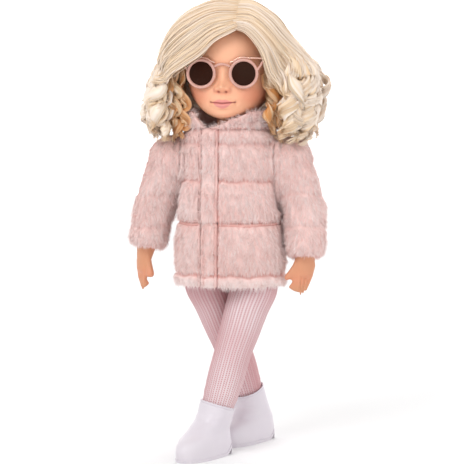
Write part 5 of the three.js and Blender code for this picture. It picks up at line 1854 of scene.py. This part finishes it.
    def lining(self, u: Array, v: Array) -> Array:
        """Inside of the collar, from one edge of the notch round to the other.

        Args:
            u: Share across.
            v: Share along.

        Returns:
            Points of the surface.
        """
        turn = 1.5 * math.pi - math.radians(16) + u * TURN
        low = UP.jacket_top + 0.3
        x, y = ring(turn, 40.0, 34.0, 34.0, 2.2)
        left = low + 3 + (x - (self.placket_left + 1)) / (30 - self.placket_left - 1) * (self.collar_high - 1)
        right_edge = self.placket_right + 5
        right = low - 1 + (right_edge - x) / (36 + right_edge) * (self.collar_high + 3)
        open_to = np.where(y < 0, np.maximum(left, right), low + self.collar_high)
        top = np.clip(open_to, low + 0.6, low + self.collar_high - 1.5)
        z = low + v * (top - low)
        lean = 1.5 * (z - low) / self.collar_high
        return np.stack([x * (1 + lean / 42), y * (1 + lean / 36), z], 1)

    def sleeve(self, limb: Limb, cuff: float) -> None:
        """One padded sleeve that turns with its arm.

        Args:
            limb: Arm that wears it.
            cuff: Distance of the cuff below the shoulder.
        """
        side, tilt = limb.side, limb.tilt
        node = f"sleeve_{side.word}"
        sleeve = node_copy(node, f"padded_{node}", 1.5, 9, self.grow)
        points, facing = coords(sleeve), normals(sleeve)
        local = (points - limb.pivot) @ tilt.T
        drop = -local[:, 2]
        axis_x, axis_y = limb.axis(drop)
        radial = np.stack([local[:, 0] - axis_x, local[:, 1] - axis_y, np.minimum(drop, 0) * -1], 1)
        length = np.linalg.norm(radial, axis=1)
        outside = smoothstep(-0.3, 0.2, np.sum(facing @ tilt.T * radial / length[:, None], axis=1))
        outside *= smoothstep(9.0, 12.0, length)
        turn = np.arctan2(radial[:, 1], radial[:, 0])
        wander = 1.2 * np.sin(turn * 2 + side.value) + 0.7 * np.sin(turn * 5)
        groove = np.zeros(len(points))
        pucker = np.exp(-np.abs(drop - cuff) / 6)
        for at in self.sleeve_seams:
            groove = np.maximum(groove, bump(drop, at + wander, 1.8))
            pucker += np.exp(-np.abs(drop - at - wander) / 6.0)
        channel = np.abs(np.sin((drop - 34) / 32 * math.pi)) * smoothstep(0, 14, drop)
        push = -self.pile_room - 0.8 - 0.9 * groove + 0.6 * channel
        push += 1.1 * ripple(points * [1, 1, 0.6], 26, 40 + side.value)
        push += 0.7 * pucker * np.sin(turn * 13 + 1.5 * np.sin(turn * 3)) * (1 - groove)
        flat = np.abs(local[:, 0] + side.value * 9.4) < 2.4
        inward = smoothstep(0.1, 0.7, -facing[:, 0] * side.value) * smoothstep(80, 48, drop)
        points[:, 0] -= side.value * 2.6 * inward
        place(sleeve, points + facing * (push * outside * np.where(flat, 0.0, 1.0))[:, None])
        dress(sleeve, FLEECE.material())
        # Painted shade, faint in the seam grooves and stronger at the cuff.
        seam = np.clip(0.18 * groove + 0.5 * bump(drop, cuff, 1.6), 0, 1)
        self.pile.cover(sleeve, np.where(flat, 1.0, outside), seam,
                        0.3 * ripple(points, 60, 50 + side.value), 60 + side.value)
        fit(sleeve, f"arm_{side.word}", "fleece", node)

    def build(self) -> None:
        """Body, collar and sleeves."""
        self.body()
        self.collar()
        for limb, cuff in zip(LIMBS, (97.0, 90.0)):
            self.sleeve(limb, cuff)


def knitted(obj: Piece, under: Callable[[Array], Array], other: bpy.types.Material) -> None:
    """Gives the part of a piece that lies under the top of the tights their plain knit.

    Args:
        obj: Piece of the body.
        under: Tells which places lie under the tights.
        other: Material of the rest.
    """
    dress(obj, other, KNIT.material())
    mark(obj, "shade", np.full(len(obj.data.vertices), PLAIN_SHADE))
    where = np.zeros(len(obj.data.polygons) * 3)
    obj.data.polygons.foreach_get("center", where)
    inside = under(from_row(where.reshape(-1, 3)))
    obj.data.polygons.foreach_set("material_index", inside.astype(np.int32))


@dataclass
class Leg:
    """One vinyl leg in its tights and boot.

    Attributes:
        side: Side of the doll.
        inward: Degrees that the leg is drawn in.
        forward: Degrees that it is swung forward.
        toe_turn: Degrees that the toe is turned, towards +x where positive.
    """

    side: Side
    inward: float
    forward: float
    toe_turn: float = -23.0
    hip_out: float = 31.5
    ankle_up: float = 25.0
    rim_at: float = 160.0
    tights_from: float = 24.0
    shaft: float = 18.8
    toe_long: float = 54.0
    heel_long: float = 20.0
    boot_half: float = 19.0

    @property
    def along(self) -> Array:
        """Direction from the hip to the ankle.

        Returns:
            Direction of length 1.
        """
        i, f = math.radians(self.inward), math.radians(self.forward)
        inwards = -self.side.value * math.sin(i)
        return np.array([inwards * math.cos(f), -math.sin(f), -math.cos(i) * math.cos(f)])

    @property
    def hip(self) -> Array:
        """Middle of the hip ball."""
        return np.array([self.side.value * self.hip_out, 0.0, UP.hip])

    @property
    def ankle(self) -> Array:
        """Middle of the ankle."""
        return self.hip + self.along * ((self.ankle_up - UP.hip) / self.along[2])

    def tights_shape(self, u: Array, v: Array) -> Array:
        """Points of the tights, from the thigh down into the boot.

        Args:
            u: Share across.
            v: Share along.

        Returns:
            Points of the surface.
        """
        s = self.tights_from + (self.rim_at + 8 - self.tights_from) * v
        radius = through([(10, 18), (22, 20.75), (38, 22.5), (60, 20.83), (84, 19.17), (108, 17.5),
                          (132, 17.4), (156, 15.8), (172, 13.5)])(s) + 1.1
        out = through([(10, 0), (22, 1.75), (38, 3.5), (60, 1.75), (84, 1.0), (108, 0), (180, 0)])(s)
        back = through([(0, 0), (108, 0), (132, 2), (156, 1), (172, 0)])(s)
        aside = np.array([1.0, 0, 0]) - self.along * self.along[0]
        aside /= np.linalg.norm(aside)
        ahead = np.cross(self.along, aside)
        turn = u * TURN
        radius = radius + 0.22 * np.sin(s * 0.55 + 2 * np.sin(turn)) * smoothstep(130, 158, s)
        middle = self.hip + self.along * s[:, None]
        middle = middle + np.stack([self.side.value * out, back, np.zeros_like(s)], 1)
        return middle + aside * (radius * np.cos(turn))[:, None] + ahead * (radius * np.sin(turn))[:, None]

    def tights(self) -> None:
        """Ribbed tights on the leg."""
        def shade(u: Array, v: Array) -> Array:
            """Painted shade on the inner side, under the hem and on the leg behind, with rosier sides and
            knee.

            Args:
                u: Share across.
                v: Share along.

            Returns:
                Share of the deep tone.
            """
            inner = -self.side.value * np.cos(u * TURN)
            edge = 0.35 * smoothstep(0.6, 1.0, np.abs(np.cos(u * TURN))) + 0.3 * bump(v, 0.55, 0.16)
            # Painted shade on the leg that stands behind.
            back = 0.35 if self.side is Side.RIGHT else 0.0
            under_hem = 0.4 * smoothstep(0.3, 0.1, v)
            return np.clip(0.4 * smoothstep(0.1, 1.0, inner) + under_hem + edge + back, 0, 1)

        cloth = surface(f"knit_leg_{self.side.word}", 110, 180, self.tights_shape, {"shade": shade})
        modify(cloth, "SOLIDIFY", thickness=0.0006, offset=-1.0)
        smooth_shade(cloth)
        dress(cloth, KNIT.material())
        fit(cloth, f"leg_{self.side.word}", "tights", f"tights_{self.side.word}")

    def boot_ring(self, turn: Array, z: Array) -> tuple[Array, Array]:
        """Outline of the boot at a height, in its own frame with the toe towards -y.

        Args:
            turn: Angles round the boot.
            z: Heights above the floor.

        Returns:
            x and y of the outline.
        """
        ahead = through([(0, self.toe_long - 1), (12, self.toe_long), (20.25, self.toe_long - 6), (27, 34),
                         (41, 20.8), (60, self.shaft), (80, self.shaft)])(z)
        behind = through([(0, self.heel_long), (14, self.heel_long), (41, self.shaft), (60, self.shaft),
                          (80, self.shaft)])(z)
        wide = through([(0, self.boot_half), (14, self.boot_half), (27, 17.0), (41, 17.3), (60, self.shaft),
                        (80, self.shaft)])(z)
        return ring(turn, wide, ahead, behind, 2.3)

    def boot_point(self, turn: Array, z: Array) -> Array:
        """Point of the boot's skin in the maker's frame.

        Args:
            turn: Angles round the boot.
            z: Heights above the floor.

        Returns:
            One row for each angle.
        """
        x, y = self.boot_ring(turn, z)
        t = math.radians(self.toe_turn)
        lean = np.maximum(z - self.ankle_up, 0) / self.along[2]
        return np.stack([self.ankle[0] + x * math.cos(t) - y * math.sin(t) + self.along[0] * lean,
                         self.ankle[1] + x * math.sin(t) + y * math.cos(t) + self.along[1] * lean, z], 1)

    def boot_shape(self, u: Array, v: Array) -> Array:
        """Points of the boot, from the sole up to the slanted rim.

        Args:
            u: Share across.
            v: Share along.

        Returns:
            Points of the surface.
        """
        turn = u * TURN
        _, y = self.boot_ring(turn, np.full_like(turn, 6.0))
        low = through([(-80, 0.9), (-2, 0.9), (0, 1.6), (10, 9.2), (12, 9.3), (40, 9.3)])(y)
        rim = self.hip + self.along * self.rim_at
        top = np.full_like(turn, 58.0)
        for _ in range(6):
            top = top + (self.boot_point(turn, top) - rim) @ self.along / -self.along[2]
        rise = v**0.9
        points = self.boot_point(turn, low + (top - low) * rise)
        z = points[:, 2]
        out = points - np.stack([np.full_like(z, self.ankle[0]), np.full_like(z, self.ankle[1]), z], 1)
        out = unit(out)
        front = smoothstep(-0.2, -0.9, np.sin(turn))
        crease = -0.8 * bump(z, 36, 2.6) * front - 0.5 * bump(z, 43, 2.2) * front
        roll = 0.5 * bump(v, 0.985, 0.012) - 0.35 * bump(v, 0.955, 0.012)
        round_edge = 0.3 * smoothstep(0.12, 0.05, v) - 0.25 * smoothstep(0.02, 0.0, v)
        return points + out * (crease + roll + round_edge)[:, None]

    def boot(self) -> None:
        """Smooth ankle boot on its sole and heel."""
        # Mark: a stitched line below the rim, and painted shade along the bottom edge by the sole.
        boot = surface(f"upper_boot_{self.side.word}", 112, 90, self.boot_shape, {
            "mark": lambda u, v: 0.45 * bump(v, 0.955, 0.008) + 0.10 * smoothstep(0.05, 0.0, v),
        })
        modify(boot, "SOLIDIFY", thickness=0.0014, offset=-1.0)
        smooth_shade(boot, 60)
        dress(boot, BOOT.material())
        fit(boot, f"leg_{self.side.word}", "boot", f"boot_{self.side.word}")
        for part in ("sole", "heel"):
            dress(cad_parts[f"{part}_{self.side.word}"], SOLE.material())

    def build(self) -> None:
        """Tights, boot and the leg inside them."""
        self.tights()
        self.boot()
        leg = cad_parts[f"leg_{self.side.word}"]
        knitted(leg, lambda points: (points - self.hip) @ self.along < self.tights_from + 8, VINYL.material())


@dataclass
class Body:
    """Stuffed body with the rings, discs and elastics that hold the head and limbs."""

    grain: float = 2.0
    arm_grain: float = 0.9

    def torso(self) -> None:
        """Stuffed cloth body with a seam down its front and sides."""
        torso = node_copy("torso", "stuffed_body", self.grain, 6)
        points, facing = coords(torso), normals(torso)
        seam = np.maximum(bump(points[:, 0], 0, 1.2), bump(points[:, 1], 0, 1.2))
        place(torso, points + facing * (0.6 * ripple(points, 24, 3) - 1.2 * seam)[:, None])
        knitted(torso, lambda points: points[:, 2] < from_row(np.array(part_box("tights_waist")[1]))[2] - 4,
                CLOTH.material())
        fit(torso, "torso", "cloth", "torso")

    def waistband(self) -> None:
        """Top of the tights round the body."""
        low, high = (from_row(np.array(corner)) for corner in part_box("tights_waist"))
        middle, half = (low + high) / 2, (high - low) / 2

        def shape(u: Array, v: Array) -> Array:
            """Points of the band."""
            x, y = ring(u * TURN, half[0] - 0.2, half[1] - 0.2, half[1] - 0.2, 2.2)
            return np.stack([middle[0] + x, middle[1] + y, low[2] + (high[2] - low[2]) * v], 1)

        band = surface("knit_waistband", 120, 16, shape)
        modify(band, "SOLIDIFY", thickness=0.001, offset=-1.0)
        smooth_shade(band)
        dress(band, KNIT.material())
        fit(band, "torso", "tights", "tights_waist")

    def arm(self, limb: Limb, twist: float, lean: float, taper: float) -> None:
        """Vinyl arm whose hand is turned at the wrist, inside the cuff.

        Args:
            limb: How the arm hangs.
            twist: Degrees that the thumb is turned towards the body.
            lean: How far the finger tips curl towards the body.
            taper: How far the fingers close up at their tips.
        """
        side, tilt, pivot = limb.side, limb.tilt, limb.pivot
        arm = node_copy(f"arm_{side.word}", f"vinyl_arm_{side.word}", self.arm_grain, 5)
        local = (coords(arm) - pivot) @ tilt.T
        drop = -local[:, 2]
        middle_x, middle_y = limb.axis(drop)
        turn = -side.value * math.radians(twist) * smoothstep(80, 96, drop)
        x, y = local[:, 0] - middle_x, local[:, 1] - middle_y
        ends = np.clip((drop - 106) / 26, 0, 1)
        across = x * np.cos(turn) - y * np.sin(turn)
        finger = smoothstep(-11, -7, across * side.value)
        to = side.value * np.where(finger > 0, lean, 0.0)
        across = across + (to - across) * (taper * ends * finger) - side.value * lean * ends**1.4
        drop = drop + 3.5 * ends * finger
        local = np.stack([middle_x + across, middle_y + x * np.sin(turn) + y * np.cos(turn), -drop], 1)
        place(arm, local @ tilt + pivot)
        mark(arm, "blush", 0.5 * bump(coords(arm)[:, 2], UP.shoulder - 118, 7))
        # Painted shade that darkens the arm towards the hand and over it.
        mark(arm, "tan", smoothstep(70, 95, drop))
        dress(arm, VINYL.material())
        fit(arm, f"arm_{side.word}", "vinyl", f"arm_{side.word}")

    def build(self) -> None:
        """Body, band, arms and the fittings inside."""
        self.torso()
        self.waistband()
        for limb, hand in zip(LIMBS, ((62.0, 8.0, 0.62), (40.0, 2.0, 0.4))):
            self.arm(limb, *hand)
        pairs = [f"{part}_{side.word}" for part in ("shoulder_disc", "hip_cup", "hip_elastic")
                 for side in Side]
        for node in ("neck_ring", "arm_elastic", *pairs):
            dress(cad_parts[node], (ELASTIC if "elastic" in node else MOULDED).material())


PAPER = Finish("pale_floor", (0.85, 0.85, 0.85), (0.84, 0.84, 0.84), 3, 0.3, 0.8, 0.1, 40, 0.0001)
WALL = Finish("white_wall", (0.9, 0.9, 0.9), (0.88, 0.88, 0.88), 3, 0.3, 0.8, 0.1, 40, 0.0001,
              {"Emission Color": (1.0, 1.0, 1.0, 1.0), "Emission Strength": 1.0})


@dataclass
class Studio:
    """Pale floor, soft light and the camera at the photograph's angle."""

    azimuth: float = 10.0
    elevation: float = 6.0
    distance: float = 1.8
    across: float = 0.471
    target: tuple[float, float, float] = (0.0, 0.0, 222.0)
    aside: float = 1.5

    def camera(self) -> None:
        """Long lens, level with the doll's waist and a little above it."""
        a, e = math.radians(self.azimuth), math.radians(self.elevation)
        back = Vector((math.sin(a) * math.cos(e), -math.cos(a) * math.cos(e), math.sin(e)))
        right = Vector((math.cos(a), math.sin(a), 0))
        aim = Vector(to_row(np.array(self.target))) + right * (self.aside / 1000)
        data = bpy.data.cameras.new("portrait")
        data.sensor_width = 36.0
        data.lens = 36.0 * self.distance / self.across
        data.clip_start = 0.05
        eye = bpy.data.objects.new("portrait", data)
        eye.location = aim + back * self.distance
        eye.rotation_euler = back.to_track_quat("Z", "Y").to_euler()
        bpy.context.scene.collection.objects.link(eye)
        bpy.context.scene.camera = eye

    def light(self, name: str, where: tuple[float, float, float], power: float, size: float) -> None:
        """Square soft light that faces the doll's chest.

        Args:
            name: Name of the light.
            where: Its place, in metres.
            power: Its power, in watts.
            size: Its width, in metres.
        """
        data = bpy.data.lights.new(name, "AREA")
        data.energy = power
        data.size = size
        lamp = bpy.data.objects.new(name, data)
        lamp.location = where
        lamp.rotation_euler = (Vector(where) - Vector((0, 0, 0.25))).to_track_quat("Z", "Y").to_euler()
        bpy.context.scene.collection.objects.link(lamp)

    def sheet(self, name: str, size: float, finish: Finish, **place_and_turn: object) -> None:
        """Plain flat sheet of the studio.

        Args:
            name: Name of the sheet.
            size: Its width, in metres.
            finish: Its finish.
            **place_and_turn: Where it stands, as the operator that adds it says this.
        """
        deselect()
        bpy.ops.mesh.primitive_plane_add(size=size, **place_and_turn)
        sheet = active(name)
        settle(sheet)
        dress(sheet, finish.material())

    def build(self) -> None:
        """Camera, lights, floor, wall and world."""
        self.camera()
        self.light("key", (-0.9, -1.6, 1.7), 21.0, 1.1)
        self.light("fill", (1.6, -1.3, 0.9), 9.0, 1.6)
        self.light("back", (0.4, 1.2, 1.6), 6.0, 1.2)
        self.sheet("studio_floor", 8.0, PAPER)
        self.sheet("studio_wall", 9.0, WALL, location=(0, 3.0, 0), rotation=(math.pi / 2, 0, 0))
        scene = bpy.context.scene
        scene.view_settings.view_transform = "Standard"
        world = bpy.data.worlds.new("white_room")
        world.use_nodes = True
        world.node_tree.nodes["Background"].inputs[0].default_value = (1.0, 1.0, 1.0, 1.0)
        world.node_tree.nodes["Background"].inputs[1].default_value = 0.72
        scene.world = world


def main() -> None:
    """Builds and dresses every part of the doll, then the studio."""
    logging.basicConfig(level=logging.INFO, format="%(name)s %(message)s")
    Head().build()
    SleepingEyes().build()
    Sunglasses().build()
    Hair().build()
    Body().build()
    Leg(Side.LEFT, 14.4, 10.0).build()
    Leg(Side.RIGHT, 15.4, -14.0).build()
    Jacket().build()
    Studio().build()


if __name__ == "__main__":
    main()
